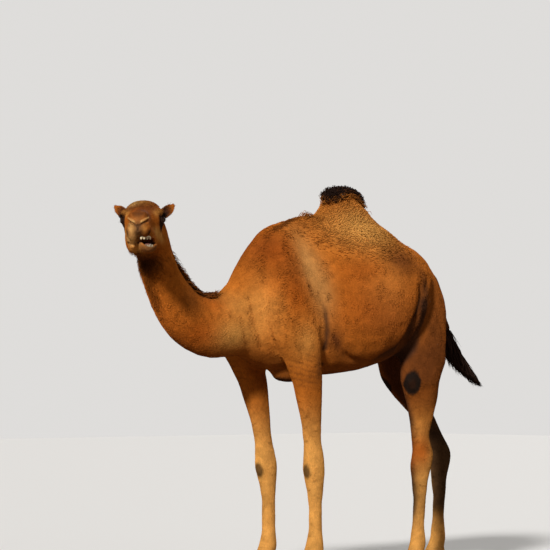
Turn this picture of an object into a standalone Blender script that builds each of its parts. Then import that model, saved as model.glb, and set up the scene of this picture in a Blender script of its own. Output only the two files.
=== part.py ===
"""A dromedary camel, life size, standing with its head turned to its left.

Metres, +Z up. The camel faces -Y and its left side is +X. The body is modelled whole from
lofted sections, fused, and then parted with thin cuts into the parts a person would name.
"""

import math

import bmesh
import bpy
import numpy as np
from mathutils import Matrix, Vector

# ---- Driving dimensions ----------------------------------------------------------------
HUMP_HEIGHT = 2.08
WITHERS_HEIGHT = 1.84
CROUP_HEIGHT = 1.768
CHEST_FLOOR = 1.06
KNEE_HEIGHT = 0.57
HOCK_HEIGHT = 0.60
FETLOCK_HEIGHT = 0.165
PASTERN_HEIGHT = 0.118
BARREL_HALF_WIDTH = 0.385
EYE_HEIGHT = 1.828
HEAD_YAW = math.radians(46.5)
HEAD_ROLL = math.radians(1.2)
EAR_THICKNESS = 0.010
EYE_RADIUS = 0.0215

# ---- Mesh settings ---------------------------------------------------------------------
CUT = 0.0006  # thickness of the thin cuts that part the body
GAP = 0.0004  # clearance round a piece that is set into another
BODY_VOXEL = 0.014
HEAD_VOXEL = 0.0045
RING_POINTS = 28
SPAN_STEPS = 4


# ---- Small tools -----------------------------------------------------------------------
def clear_scene():
    for obj in list(bpy.data.objects):
        bpy.data.objects.remove(obj)


def make_material(name, colour, roughness, metallic=0.0):
    material = bpy.data.materials.new(name)
    material.use_nodes = True
    shader = material.node_tree.nodes["Principled BSDF"]
    shader.inputs["Base Color"].default_value = (*colour, 1.0)
    shader.inputs["Roughness"].default_value = roughness
    shader.inputs["Metallic"].default_value = metallic
    return material


def add_object(name, mesh):
    obj = bpy.data.objects.new(name, mesh)
    bpy.context.scene.collection.objects.link(obj)
    return obj


def mesh_from_bmesh(name, shape):
    bmesh.ops.recalc_face_normals(shape, faces=shape.faces)
    mesh = bpy.data.meshes.new(name)
    shape.to_mesh(mesh)
    shape.free()
    return mesh


def between(rows, steps=SPAN_STEPS):
    """Smooth in-between rows on a Catmull-Rom curve through the given rows of numbers."""
    rows = np.array(rows, float)
    padded = np.vstack([2 * rows[0] - rows[1], rows, 2 * rows[-1] - rows[-2]])
    found = []
    for before, start, end, after in zip(padded, padded[1:], padded[2:], padded[3:]):
        for step in range(steps):
            t = step / steps
            found.append(
                0.5
                * (
                    2 * start
                    + (end - before) * t
                    + (2 * before - 5 * start + 4 * end - after) * t * t
                    + (3 * start - before - 3 * end + after) * t**3
                )
            )
    found.append(rows[-1])
    return np.array(found)


def ring(centre, side, up, half_width, rise, drop, round_top=2.0, round_bottom=2.0):
    """Points of one closed section. An exponent above 2 is boxier, below 2 more pointed."""
    points = []
    for i in range(RING_POINTS):
        angle = 2 * math.pi * i / RING_POINTS
        c, s = math.cos(angle), math.sin(angle)
        power = 2.0 / (round_top if s >= 0 else round_bottom)
        across = math.copysign(abs(c) ** power, c) * half_width
        along = math.copysign(abs(s) ** power, s) * (rise if s >= 0 else drop)
        points.append(centre + side * across + up * along)
    return points


def loft(rings):
    """A closed mesh through the rings, each end closed by a fan, as a bmesh."""
    shape = bmesh.new()
    loops = [[shape.verts.new(point) for point in points] for points in rings]
    count = len(loops[0])
    for lower, upper in zip(loops, loops[1:]):
        for i in range(count):
            j = (i + 1) % count
            shape.faces.new((lower[i], lower[j], upper[j], upper[i]))
    for loop in (loops[0], loops[-1]):
        middle = shape.verts.new(sum((v.co for v in loop), Vector()) / count)
        for i in range(count):
            shape.faces.new((loop[i], loop[(i + 1) % count], middle))
    return shape


def ellipsoid(centre, radii, turn=None, around=24):
    """An ellipsoid as a bmesh. turn is a rotation matrix about its own centre."""
    shape = bmesh.new()
    place = Matrix.Translation(centre) @ (turn or Matrix()) @ Matrix.Diagonal((*radii, 1.0))
    bmesh.ops.create_uvsphere(
        shape, u_segments=around, v_segments=around // 2 + 1, radius=1.0, matrix=place
    )
    return shape


def fuse(name, shapes, voxel):
    """One skin round all the shapes, by a voxel remesh."""
    whole = bmesh.new()
    for shape in shapes:
        piece = mesh_from_bmesh("piece", shape)
        whole.from_mesh(piece)
        bpy.data.meshes.remove(piece)
    mesh = bpy.data.meshes.new(name)
    whole.to_mesh(mesh)
    whole.free()
    obj = add_object(name, mesh)
    remesh = obj.modifiers.new("fuse", "REMESH")
    remesh.mode = "VOXEL"
    remesh.voxel_size = voxel
    return bake_modifiers(obj)


def bake_modifiers(obj):
    """Gives the object the mesh that its modifiers make, and drops them."""
    bpy.context.view_layer.update()
    graph = bpy.context.evaluated_depsgraph_get()
    made = bpy.data.meshes.new_from_object(obj.evaluated_get(graph))
    obj.modifiers.clear()
    old = obj.data
    obj.data = made
    bpy.data.meshes.remove(old)
    return obj


def points_of(obj):
    co = np.empty(len(obj.data.vertices) * 3)
    obj.data.vertices.foreach_get("co", co)
    return co.reshape(-1, 3)


def set_points(obj, co):
    obj.data.vertices.foreach_set("co", co.ravel())
    obj.data.update()


def relax(obj, rounds, weight=None):
    """Smooths creases without shrinking the form, by a push that undoes each pull."""
    co = points_of(obj)
    ends = np.empty(len(obj.data.edges) * 2, np.int64)
    obj.data.edges.foreach_get("vertices", ends)
    a, b = ends.reshape(-1, 2).T
    degree = np.bincount(np.concatenate([a, b]), minlength=len(co))[:, None]
    share = 1.0 if weight is None else weight(co)[:, None]
    for turn in range(2 * rounds):
        total = np.zeros_like(co)
        for axis in range(3):
            total[:, axis] += np.bincount(a, co[b, axis], len(co))
            total[:, axis] += np.bincount(b, co[a, axis], len(co))
        pull = 0.5 if turn % 2 == 0 else -0.52
        co += pull * share * (total / degree - co)
    set_points(obj, co)


def barrel():
    """Chest, ribs, belly and loin, in sections from the chest to the croup.

    Each row: y, half width, top, widest level, bottom, roundness above and below.
    """
    wide, floor = BARREL_HALF_WIDTH, CHEST_FLOOR
    rows = between(
        [
            (-0.78, 0.120, 1.53, 1.34, 1.190, 2.0, 2.0),
            (-0.68, 0.170, 1.71, 1.36, 1.140, 1.8, 2.0),
            (-0.56, 0.215, WITHERS_HEIGHT, 1.38, 1.100, 1.5, 2.1),
            (-0.40, 0.260, 1.890, 1.40, floor + 0.010, 1.5, 2.2),
            (-0.24, 0.320, 1.925, 1.41, floor, 1.6, 2.4),
            (-0.06, 0.368, 1.925, 1.43, floor + 0.012, 1.7, 2.5),
            (0.10, wide, 1.885, 1.45, floor + 0.040, 1.85, 2.4),
            (0.24, 0.368, 1.855, 1.48, floor + 0.085, 1.85, 2.3),
            (0.38, 0.310, 1.812, 1.52, floor + 0.160, 1.8, 2.2),
            (0.50, 0.218, CROUP_HEIGHT, 1.55, floor + 0.240, 1.9, 2.0),
            (0.59, 0.150, 1.695, 1.56, 1.380, 2.0, 2.0),
            (0.67, 0.080, 1.620, 1.56, 1.470, 2.0, 2.0),
        ]
    )
    side, up = Vector((1, 0, 0)), Vector((0, 0, 1))
    rings = []
    for y, half_width, top, level, bottom, above, below in rows:
        centre = Vector((0, y, level))
        rings.append(
            ring(centre, side, up, half_width, top - level, level - bottom, above, below)
        )
    return loft(rings)


def hump():
    """The hump, in level sections. Each row: z, middle y, half length, half width."""
    top = HUMP_HEIGHT
    rows = between(
        [
            (1.72, 0.060, 0.400, 0.270),
            (1.82, 0.040, 0.310, 0.205),
            (1.89, 0.010, 0.225, 0.150),
            (1.95, 0.012, 0.158, 0.112),
            (2.00, 0.004, 0.138, 0.096),
            (top - 0.035, -0.004, 0.112, 0.076),
            (top - 0.010, -0.002, 0.070, 0.045),
            (top, 0.000, 0.020, 0.014),
        ]
    )
    side, along = Vector((1, 0, 0)), Vector((0, 1, 0))
    rings = [
        ring(Vector((0, y, z)), side, along, half_width, half_length, half_length)
        for z, y, half_length, half_width in rows
    ]
    return loft(rings)


def neck():
    """The neck: down and out of the chest, then up to the poll, turning to the left.

    Each row: x, y, z, turn of the section in degrees, half width, depth above and below.
    """
    rows = between(
        [
            (0.000, -0.52, 1.460, 0, 0.190, 0.280, 0.300),
            (0.000, -0.68, 1.380, 0, 0.155, 0.205, 0.235),
            (0.000, -0.82, 1.328, 0, 0.132, 0.168, 0.180),
            (0.000, -0.95, 1.310, 0, 0.116, 0.164, 0.160),
            (0.010, -1.08, 1.340, 6, 0.105, 0.158, 0.138),
            (0.030, -1.20, 1.420, 14, 0.098, 0.160, 0.115),
            (0.052, -1.28, 1.520, 24, 0.094, 0.150, 0.110),
            (0.070, -1.33, 1.620, 34, 0.090, 0.134, 0.126),
            (0.078, -1.36, 1.700, 42, 0.088, 0.112, 0.122),
            (0.067, -1.375, 1.785, 46, 0.084, 0.084, 0.090),
            (0.056, -1.385, 1.850, 46, 0.068, 0.045, 0.045),
        ]
    )
    centres = [Vector(row[:3]) for row in rows]
    rings = []
    for i, (*_, turn, half_width, above, below) in enumerate(rows):
        ahead = centres[min(i + 1, len(rows) - 1)] - centres[max(i - 1, 0)]
        side = Vector((math.cos(math.radians(turn)), math.sin(math.radians(turn)), 0))
        up = side.cross(ahead).normalized() * -1
        side = ahead.cross(up).normalized() * -1
        rings.append(ring(centres[i], side, up, half_width, above, below))
    return loft(rings)


def limb(rows, side_sign):
    """A leg in level sections. Each row: z, x outward, y, half width, front, back."""
    side, back = Vector((1, 0, 0)), Vector((0, 1, 0))
    rings = []
    for z, x, y, half_width, front, rear in between(rows):
        centre = Vector((x * side_sign, y, z))
        rings.append(ring(centre, side, back, half_width, rear, front, 2.2, 2.2))
    return loft(rings)


def fore_leg(side_sign, shift):
    """Shoulder, forearm, knee and cannon of a fore leg. shift moves it back."""
    rows = [
        (1.830, 0.050, -0.460, 0.030, 0.050, 0.060),
        (1.760, 0.085, -0.475, 0.045, 0.075, 0.090),
        (1.660, 0.130, -0.500, 0.060, 0.095, 0.120),
        (1.540, 0.172, -0.525, 0.070, 0.115, 0.140),
        (1.400, 0.205, -0.555, 0.082, 0.140, 0.170),
        (1.260, 0.222, -0.545, 0.086, 0.135, 0.175),
        (1.140, 0.218, -0.495, 0.080, 0.098, 0.135),
        (1.030, 0.208, -0.446, 0.068, 0.080, 0.098),
        (0.930, 0.200, -0.420, 0.057, 0.070, 0.076),
        (0.820, 0.192, -0.398, 0.047, 0.056, 0.060),
        (0.720, 0.186, -0.384, 0.044, 0.050, 0.053),
        (KNEE_HEIGHT + 0.07, 0.182, -0.370, 0.050, 0.060, 0.060),
        (KNEE_HEIGHT, 0.180, -0.364, 0.054, 0.066, 0.058),
        (KNEE_HEIGHT - 0.07, 0.178, -0.358, 0.046, 0.052, 0.050),
        (0.400, 0.176, -0.356, 0.036, 0.038, 0.042),
        (0.260, 0.175, -0.356, 0.036, 0.038, 0.044),
        (FETLOCK_HEIGHT, 0.175, -0.364, 0.048, 0.048, 0.054),
        (0.110, 0.175, -0.388, 0.048, 0.048, 0.056),
        (0.060, 0.175, -0.408, 0.052, 0.060, 0.070),
    ]
    return limb([(z, x, y + shift, *rest) for z, x, y, *rest in rows], side_sign)


def hind_leg(side_sign, stifle, hock, foot):
    """Thigh, gaskin, hock and cannon. The places are (x outward, y) at each level."""
    sx, sy = stifle
    hx, hy = hock
    fx, fy = foot
    mid_x, mid_y = sx * 0.45 + hx * 0.55, sy * 0.4 + hy * 0.6
    rows = [
        (1.750, 0.070, 0.400, 0.040, 0.080, 0.050),
        (1.680, 0.112, 0.415, 0.068, 0.125, 0.100),
        (1.570, 0.142, 0.432, 0.093, 0.175, 0.150),
        (1.440, 0.165, 0.440, 0.108, 0.200, 0.170),
        (1.300, 0.185, 0.415 + 0.35 * (sy - 0.36), 0.108, 0.185, 0.172),
        (1.160, sx - 0.020, 0.395 + 0.75 * (sy - 0.36), 0.098, 0.155, 0.160),
        (1.040, sx - 0.005, sy + 0.000, 0.084, 0.130, 0.125),
        (0.940, sx - 0.010 + 0.2 * (hx - sx), sy + 0.020 + 0.2 * (hy - sy), 0.069, 0.110, 0.092),
        (0.840, mid_x, mid_y, 0.054, 0.076, 0.072),
        (0.740, hx + 0.022, hy - 0.025, 0.043, 0.055, 0.058),
        (HOCK_HEIGHT + 0.06, hx + 0.008, hy, 0.045, 0.056, 0.080),
        (HOCK_HEIGHT - 0.01, hx, hy, 0.049, 0.062, 0.078),
        (HOCK_HEIGHT - 0.09, hx, hy - 0.006, 0.043, 0.050, 0.056),
        (0.390, hx, hy * 0.6 + fy * 0.4, 0.034, 0.036, 0.040),
        (0.260, fx, fy * 0.8 + hy * 0.2, 0.034, 0.036, 0.040),
        (FETLOCK_HEIGHT, fx, fy, 0.044, 0.045, 0.050),
        (0.110, fx, fy - 0.020, 0.044, 0.046, 0.052),
        (0.060, fx, fy - 0.035, 0.048, 0.055, 0.065),
    ]
    return limb(rows, side_sign)


def foot(x, y, length, width):
    """A broad two-toed pad with a cleft between the toes."""
    shapes = []
    for middle, ahead in toe_places(x, y, length, width):
        rows = [
            (-0.020, 0.93, 0.98),
            (0.012, 1.00, 1.03),
            (0.030, 0.97, 0.98),
            (0.050, 0.84, 0.80),
            (0.070, 0.68, 0.60),
            (0.092, 0.50, 0.44),
        ]
        side, back = Vector((-ahead.y, ahead.x, 0)), -ahead
        rings = []
        for z, wide, long in between(rows, 2):
            centre = middle + Vector((0, 0.30 * z, z))
            front, rear = length * 0.46 * long, length * 0.54 * long
            rings.append(ring(centre, side, back, width * 0.29 * wide, rear, front, 2.3, 2.0))
        shapes.append(loft(rings))
    return shapes


def tail():
    """The dock of the tail with its tuft, hanging and swung back."""
    rows = between(
        [
            (0.000, 0.620, 1.640, 0.048, 0.050),
            (0.000, 0.700, 1.585, 0.038, 0.040),
            (0.000, 0.748, 1.500, 0.031, 0.032),
            (0.000, 0.776, 1.400, 0.029, 0.030),
            (0.000, 0.802, 1.310, 0.034, 0.038),
            (0.000, 0.830, 1.238, 0.040, 0.050),
            (0.000, 0.864, 1.185, 0.042, 0.054),
            (0.000, 0.907, 1.138, 0.038, 0.046),
            (0.000, 0.955, 1.094, 0.034, 0.040),
            (0.000, 1.005, 1.048, 0.024, 0.028),
            (0.000, 1.042, 1.010, 0.013, 0.015),
            (0.000, 1.064, 0.990, 0.005, 0.006),
        ]
    )
    centres = [Vector(row[:3]) for row in rows]
    side = Vector((1, 0, 0))
    rings = []
    for i, (*_, half_width, half_depth) in enumerate(rows):
        ahead = centres[min(i + 1, len(rows) - 1)] - centres[max(i - 1, 0)]
        up = ahead.cross(side).normalized()
        rings.append(ring(centres[i], side, up, half_width, half_depth, half_depth))
    return loft(rings)


# ---- Head ------------------------------------------------------------------------------
EYES_MIDDLE = Vector((0.150, -1.486, EYE_HEIGHT))
HEAD_TURN = Matrix.Rotation(HEAD_YAW, 4, "Z") @ Matrix.Rotation(-HEAD_ROLL, 4, "Y")
HEAD_PLACE = Matrix.Translation(EYES_MIDDLE) @ HEAD_TURN


def in_head(left, ahead, up):
    """A place given from the middle of the two eyes: to the left, ahead and up."""
    return HEAD_PLACE @ Vector((left, -ahead, up))


def head_loft(rows):
    """Sections along the head. Each row: ahead, left, half width, top, middle, bottom."""
    side = (HEAD_TURN @ Vector((1, 0, 0))).normalized()
    up = (HEAD_TURN @ Vector((0, 0, 1))).normalized()
    rings = []
    for ahead, left, half_width, top, middle, bottom in between(rows, 3):
        centre = in_head(left, ahead, middle)
        rings.append(ring(centre, side, up, half_width, top - middle, middle - bottom, 2.2, 2.2))
    return loft(rings)


def head_lump(left, ahead, up, radii):
    return ellipsoid(in_head(left, ahead, up), radii, HEAD_TURN)


def ear(side_sign):
    """A cupped leaf, open to the front. Each row: share of length, half width, depth."""
    base = in_head(0.084 * side_sign, -0.100, 0.022)
    tip = in_head(0.153 * side_sign, -0.118, 0.083)
    rows = between(
        [
            (0.00, 0.022, 0.020),
            (0.25, 0.028, 0.024),
            (0.50, 0.029, 0.022),
            (0.72, 0.023, 0.016),
            (0.90, 0.013, 0.009),
            (1.00, 0.006, 0.006),
        ],
        2,
    )
    length = (tip - base).normalized()
    front = (in_head(0, 1, 0) - in_head(0, 0, 0)).normalized()
    front = (front - length * front.dot(length)).normalized()
    across = length.cross(front)
    rings = []
    for share, half_width, depth in rows:
        centre = base.lerp(tip, share)
        thin = min(EAR_THICKNESS, 0.8 * depth)
        points = []
        half = RING_POINTS // 2
        for i in range(half):
            angle = math.radians(-95 + 190 * i / (half - 1))
            points.append(
                centre + across * (math.sin(angle) * half_width) - front * (math.cos(angle) * depth)
            )
        for i in range(half):
            angle = math.radians(95 - 190 * i / (half - 1))
            inner = max(half_width - thin, 0.001), max(depth - thin, 0.0005)
            points.append(
                centre + across * (math.sin(angle) * inner[0]) - front * (math.cos(angle) * inner[1])
            )
        rings.append(points)
    return loft(rings)


def head_shapes():
    """Skull, muzzle, cheeks, lips, jaw and ears, with the jaw swung to the left."""
    skull = head_loft(
        [
            (-0.172, 0, 0.042, 0.050, 0.000, -0.060),
            (-0.148, 0, 0.070, 0.082, 0.000, -0.110),
            (-0.105, 0, 0.086, 0.095, 0.010, -0.140),
            (-0.055, 0, 0.094, 0.097, 0.012, -0.170),
            (0.000, 0, 0.098, 0.091, 0.005, -0.165),
            (0.045, 0, 0.090, 0.068, -0.010, -0.150),
            (0.095, 0, 0.074, 0.048, -0.020, -0.135),
            (0.145, 0, 0.060, 0.040, -0.030, -0.120),
            (0.195, 0, 0.054, 0.036, -0.035, -0.108),
            (0.240, 0, 0.052, 0.030, -0.040, -0.100),
            (0.275, 0, 0.050, 0.016, -0.042, -0.098),
            (0.303, 0, 0.042, -0.006, -0.045, -0.090),
            (0.318, 0, 0.024, -0.028, -0.052, -0.078),
        ]
    )
    jaw = head_loft(
        [
            (-0.100, 0.004, 0.050, -0.090, -0.130, -0.168),
            (-0.050, 0.008, 0.058, -0.090, -0.140, -0.190),
            (0.000, 0.012, 0.056, -0.090, -0.140, -0.190),
            (0.060, 0.019, 0.050, -0.090, -0.140, -0.184),
            (0.120, 0.026, 0.047, -0.088, -0.140, -0.180),
            (0.170, 0.032, 0.046, -0.090, -0.140, -0.177),
            (0.215, 0.038, 0.046, -0.096, -0.140, -0.178),
            (0.250, 0.043, 0.044, -0.104, -0.140, -0.178),
            (0.276, 0.046, 0.035, -0.114, -0.142, -0.170),
            (0.292, 0.047, 0.014, -0.128, -0.142, -0.156),
        ]
    )
    shapes = [skull, jaw, ear(1), ear(-1)]
    for side in (1, -1):
        shapes += [
            head_lump(0.058 * side, -0.040, -0.085, (0.036, 0.085, 0.080)),
            head_lump(0.080 * side, 0.000, -0.002, (0.028, 0.050, 0.044)),
            head_lump(0.084 * side, 0.004, 0.030, (0.026, 0.046, 0.019)),
            head_lump(0.031 * side, 0.250, -0.004, (0.020, 0.050, 0.025)),
            head_lump(0.046 * side, 0.075, -0.078, (0.032, 0.090, 0.055)),
        ]
    shapes += [
        head_lump(-0.030, 0.262, -0.072, (0.031, 0.050, 0.050)),
        head_lump(0.030, 0.264, -0.064, (0.031, 0.048, 0.040)),
        head_lump(-0.042, 0.180, -0.100, (0.029, 0.090, 0.042)),
        head_lump(0.046, 0.150, -0.092, (0.028, 0.080, 0.045)),
        head_lump(0.047, 0.266, -0.146, (0.034, 0.030, 0.030)),
        head_lump(0.008, -0.075, -0.130, (0.072, 0.085, 0.070)),
        head_lump(-0.034, 0.120, -0.140, (0.032, 0.110, 0.036)),
    ]
    return shapes


def mouth_gap():
    """The space between the lips: almost shut on the right, wide open on the left."""
    rings = []
    half = 11
    for ahead in (0.105, 0.145, 0.180, 0.215, 0.255, 0.360):
        grown = min(1.0, max(0.0, (ahead - 0.115) / 0.120))
        points = []
        for over, row in ((True, range(half)), (False, reversed(range(half)))):
            for i in row:
                left = -0.110 + 0.250 * i / (half - 1)
                rest = -0.116 + 0.22 * min(left, 0.0) * grown
                wide = grown**2 * math.exp(-(((left - 0.056) / 0.036) ** 2))
                level = rest + 0.016 * wide if over else rest - 0.0016 - 0.038 * wide
                points.append(in_head(left, ahead, level))
        rings.append(points)
    return loft(rings)


UPPER_TEETH = ((0.012, 0.270), (0.026, 0.264), (0.040, 0.252), (0.051, 0.235))
LOWER_TEETH = ((0.031, 0.262), (0.042, 0.268), (0.053, 0.267), (0.064, 0.258))


def mouth_hollow():
    """The hollow behind the lips."""
    return ellipsoid(in_head(0.036, 0.198, -0.128), (0.029, 0.062, 0.022), HEAD_TURN, 12)


def tooth_row(places, level, crown):
    """Teeth standing close together on a strip of gum, as one closed body."""
    shapes = [head_lump(left, ahead, level, (0.0062, 0.0042, 0.0095)) for left, ahead in places]
    for start, end in zip(places, places[1:]):
        middle = ((start[0] + end[0]) / 2, (start[1] + end[1]) / 2)
        shapes.append(head_lump(*middle, level - crown * 0.006, (0.0085, 0.0050, 0.0050)))
    return shapes


def toe_places(x, y, length, width):
    """The middle and the pointing direction of each of a foot's two toes."""
    for toe in (-1, 1):
        turn = math.radians(7) * toe
        yield Vector((x + toe * width * 0.235, y, 0.0)), Vector((math.sin(turn), -math.cos(turn), 0.0))


def toenail(middle, ahead, length):
    """A short thick nail on the front of a toe."""
    turn = Matrix.Rotation(math.atan2(ahead.x, -ahead.y), 4, "Z") @ Matrix.Rotation(0.45, 4, "X")
    place = middle + ahead * (length * 0.425) + Vector((0, 0, 0.036))
    return ellipsoid(place, (0.0175, 0.023, 0.014), turn, 10)


FORE_SHIFT = {1: 0.0, -1: -0.010}
HIND_PLACES = {
    1: {"stifle": (0.235, 0.372), "hock": (0.155, 0.445), "foot": (0.155, 0.420)},
    -1: {"stifle": (0.215, 0.665), "hock": (0.140, 0.896), "foot": (0.140, 0.880)},
}


def feet():
    """Every foot by name: its middle in plan, its length and its width."""
    found = {}
    for side, word in ((1, "left"), (-1, "right")):
        found["fore_foot_" + word] = (0.175 * side, -0.424 + FORE_SHIFT[side], 0.205, 0.185)
        x, y = HIND_PLACES[side]["foot"]
        found["hind_foot_" + word] = (x * side, y - 0.050, 0.180, 0.160)
    return found


def body_shapes():
    shapes = [barrel(), hump(), neck(), tail()]
    shapes.append(ellipsoid((0, -0.385, CHEST_FLOOR + 0.02), (0.085, 0.105, 0.055)))
    for side in (1, -1):
        shapes.append(fore_leg(side, FORE_SHIFT[side]))
        shapes.append(hind_leg(side, **HIND_PLACES[side]))
    for size in feet().values():
        shapes += foot(*size)
    return shapes


# ---- Parting ---------------------------------------------------------------------------
def plate(centre, normal, size, across=(1, 0, 0)):
    """A thin plate, as a bmesh. size is its extent along across and along the third axis."""
    normal = Vector(normal).normalized()
    across = Vector(across)
    across = (across - normal * across.dot(normal)).normalized()
    third = normal.cross(across)
    turn = Matrix((across, third, normal)).transposed().to_4x4()
    shape = bmesh.new()
    place = Matrix.Translation(centre) @ turn @ Matrix.Diagonal((size[0], size[1], CUT, 1.0))
    bmesh.ops.create_cube(shape, size=1.0, matrix=place)
    return shape


def take_away(obj, shapes):
    """Cuts the shapes out of the object."""
    for shape in shapes:
        tool = add_object("tool", mesh_from_bmesh("tool", shape))
        cut = obj.modifiers.new("cut", "BOOLEAN")
        cut.operation, cut.solver, cut.object = "DIFFERENCE", "EXACT", tool
        bake_modifiers(obj)
        bpy.data.objects.remove(tool)


def level_off(obj, height=0.0):
    """Cuts the object flat at the given height and closes it."""
    shape = bmesh.new()
    shape.from_mesh(obj.data)
    cut = bmesh.ops.bisect_plane(
        shape,
        geom=shape.verts[:] + shape.edges[:] + shape.faces[:],
        plane_co=(0, 0, height),
        plane_no=(0, 0, 1),
        clear_inner=True,
    )
    edges = [part for part in cut["geom_cut"] if isinstance(part, bmesh.types.BMEdge)]
    bmesh.ops.contextual_create(shape, geom=edges)
    bmesh.ops.holes_fill(shape, edges=shape.edges[:])
    shape.to_mesh(obj.data)
    shape.free()


def thin_out(obj, triangles):
    """Keeps the form with about this many triangles."""
    cut = obj.modifiers.new("thin", "DECIMATE")
    cut.ratio = triangles / (2.0 * len(obj.data.polygons))
    bake_modifiers(obj)


def loose_pieces(obj):
    """The faces of each separate closed surface of the object, as lists of vertices."""
    shape = bmesh.new()
    shape.from_mesh(obj.data)
    seen, groups = set(), []
    for start in shape.verts:
        if start in seen:
            continue
        seen.add(start)
        members, queue = [], [start]
        while queue:
            vert = queue.pop()
            members.append(vert)
            for edge in vert.link_edges:
                other = edge.other_vert(vert)
                if other not in seen:
                    seen.add(other)
                    queue.append(other)
        groups.append(members)
    meshes = []
    for members in sorted(groups, key=len, reverse=True):
        index = {vert: i for i, vert in enumerate(members)}
        faces = dict.fromkeys(face for vert in members for face in vert.link_faces)
        mesh = bpy.data.meshes.new("piece")
        corners = [[index[vert] for vert in face.verts] for face in faces]
        mesh.from_pydata([vert.co[:] for vert in members], [], corners)
        meshes.append(mesh)
    shape.free()
    return meshes


def part_out(obj, names):
    """Parts the object into its loose pieces. names gives each one's middle place."""
    pieces = []
    for mesh in loose_pieces(obj):
        corners = np.array([vert.co for vert in mesh.vertices])
        pieces.append(((corners.min(axis=0) + corners.max(axis=0)) / 2, mesh))
    made = {}
    for name, place in names.items():
        away = [np.linalg.norm(middle - np.array(place)) for middle, _ in pieces]
        made[name] = add_object(name, pieces.pop(int(np.argmin(away)))[1])
    bpy.data.objects.remove(obj)
    return made


def drop_chips(obj):
    """Keeps only the object's largest piece."""
    obj.data = loose_pieces(obj)[0]


NECK_TOP = Vector((0.075, -1.385, 1.725))
NECK_TOP_NORMAL = Vector((0.50, -0.50, 0.71)).normalized()
BODY_PARTS = {
    "trunk": (0.0, -0.05, 1.47),
    "hump": (0.0, 0.0, 2.0),
    "neck": (0.01, -1.06, 1.48),
    "tail": (0.0, 0.75, 1.45),
    "tail_tuft": (0.0, 0.93, 1.13),
    "fore_leg_upper_left": (0.20, -0.42, 0.82),
    "fore_leg_upper_right": (-0.20, -0.43, 0.82),
    "fore_leg_lower_left": (0.18, -0.37, 0.34),
    "fore_leg_lower_right": (-0.18, -0.38, 0.34),
    "fore_foot_left": (0.175, -0.43, 0.06),
    "fore_foot_right": (-0.175, -0.44, 0.06),
    "hind_leg_upper_left": (0.18, 0.44, 1.03),
    "hind_leg_upper_right": (-0.17, 0.61, 1.03),
    "hind_leg_lower_left": (0.155, 0.44, 0.36),
    "hind_leg_lower_right": (-0.14, 0.89, 0.36),
    "hind_foot_left": (0.155, 0.36, 0.06),
    "hind_foot_right": (-0.14, 0.82, 0.06),
}


def thigh_cut(side):
    """A sloping plate over the thigh and an upright one beside it, along the flank."""
    up_slope = Vector((0, 0.49, 0.38)).normalized()
    outward = Vector((1, 0, 0))
    normal = outward.cross(up_slope)
    start = Vector((0, 0.425, 1.289))
    return [
        plate(start + outward * 0.215 * side, normal, (0.34, 0.86)),
        plate(start + outward * 0.050 * side - normal * 0.15, outward, (0.86, 0.30), up_slope),
    ]



def half_space(centre, normal, reach=3.0):
    """A block that fills everything on the side its normal points to."""
    shape = bmesh.new()
    turn = normal.to_track_quat("Z", "Y").to_matrix().to_4x4()
    place = Matrix.Translation(centre + normal * reach / 2) @ turn
    bmesh.ops.create_cube(shape, size=reach, matrix=place)
    return shape


def body_cuts():
    cuts = [
        half_space(NECK_TOP - NECK_TOP_NORMAL * CUT, NECK_TOP_NORMAL),
        plate((0, -0.745, 1.37), (0, -0.95, -0.30), (0.6, 0.80)),
        plate((0, 0.03, 1.935), (0, 0, 1), (0.5, 0.62)),
        plate((0, 0.722, 1.555), (0, 0.55, -0.83), (0.2, 0.16)),
        plate((0, 0.800, 1.315), (0, 0.35, -0.94), (0.2, 0.2)),
    ]
    for side in (1, -1):
        hock_y = HIND_PLACES[side]["hock"][1]
        foot_y = HIND_PLACES[side]["foot"][1]
        cuts += thigh_cut(side)
        cuts += [
            plate((0.235 * side, -0.42, 1.065), (0, 0, 1), (0.25, 0.40)),
            plate((0.180 * side, -0.36, KNEE_HEIGHT), (0, 0, 1), (0.25, 0.30)),
            plate((0.180 * side, -0.39, PASTERN_HEIGHT), (0, 0, 1), (0.25, 0.30)),
            plate((0.150 * side, hock_y, HOCK_HEIGHT), (0, 0, 1), (0.25, 0.30)),
            plate((0.150 * side, foot_y, PASTERN_HEIGHT), (0, 0, 1), (0.25, 0.30)),
        ]
    return cuts


def head_plate(centre, normal, size):
    """A thin plate placed in the head's own directions: left, ahead and up."""
    turned = HEAD_TURN @ Vector((normal[0], -normal[1], normal[2]))
    return plate(in_head(*centre), turned, size, HEAD_TURN @ Vector((1, 0, 0)))


def head_cuts():
    """Parts the ears at their roots, and the jaw behind the corners of the mouth."""
    cuts = [head_plate((0.010, 0.090, -0.150), (0.0, 0.90, -0.45), (0.26, 0.130))]
    for side in (1, -1):
        cuts.append(head_plate((0.101 * side, -0.112, 0.037), (0.70 * side, -0.16, 0.62), (0.064, 0.070)))
    return cuts


def grown(obj, amount):
    """A copy of the object's shape pushed out all over, as a bmesh."""
    shape = bmesh.new()
    shape.from_mesh(obj.data)
    bmesh.ops.recalc_face_normals(shape, faces=shape.faces)
    shape.normal_update()
    for vert, normal in [(vert, vert.normal.copy()) for vert in shape.verts]:
        vert.co += normal * amount
    return shape


def small_piece(name, shapes, voxel, triangles):
    obj = fuse(name, shapes, voxel)
    relax(obj, 2)
    thin_out(obj, triangles)
    return obj


MATERIALS = {
    "coat": ((0.40, 0.21, 0.085), 0.85),
    "dark_hair": ((0.045, 0.028, 0.020), 0.90),
    "eye": ((0.012, 0.008, 0.006), 0.10),
    "tooth": ((0.62, 0.54, 0.38), 0.35),
    "tongue": ((0.38, 0.15, 0.13), 0.40),
    "horn": ((0.070, 0.055, 0.045), 0.55),
}
MATERIAL_OF = {"tail_tuft": "dark_hair", "tongue": "tongue"}


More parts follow.
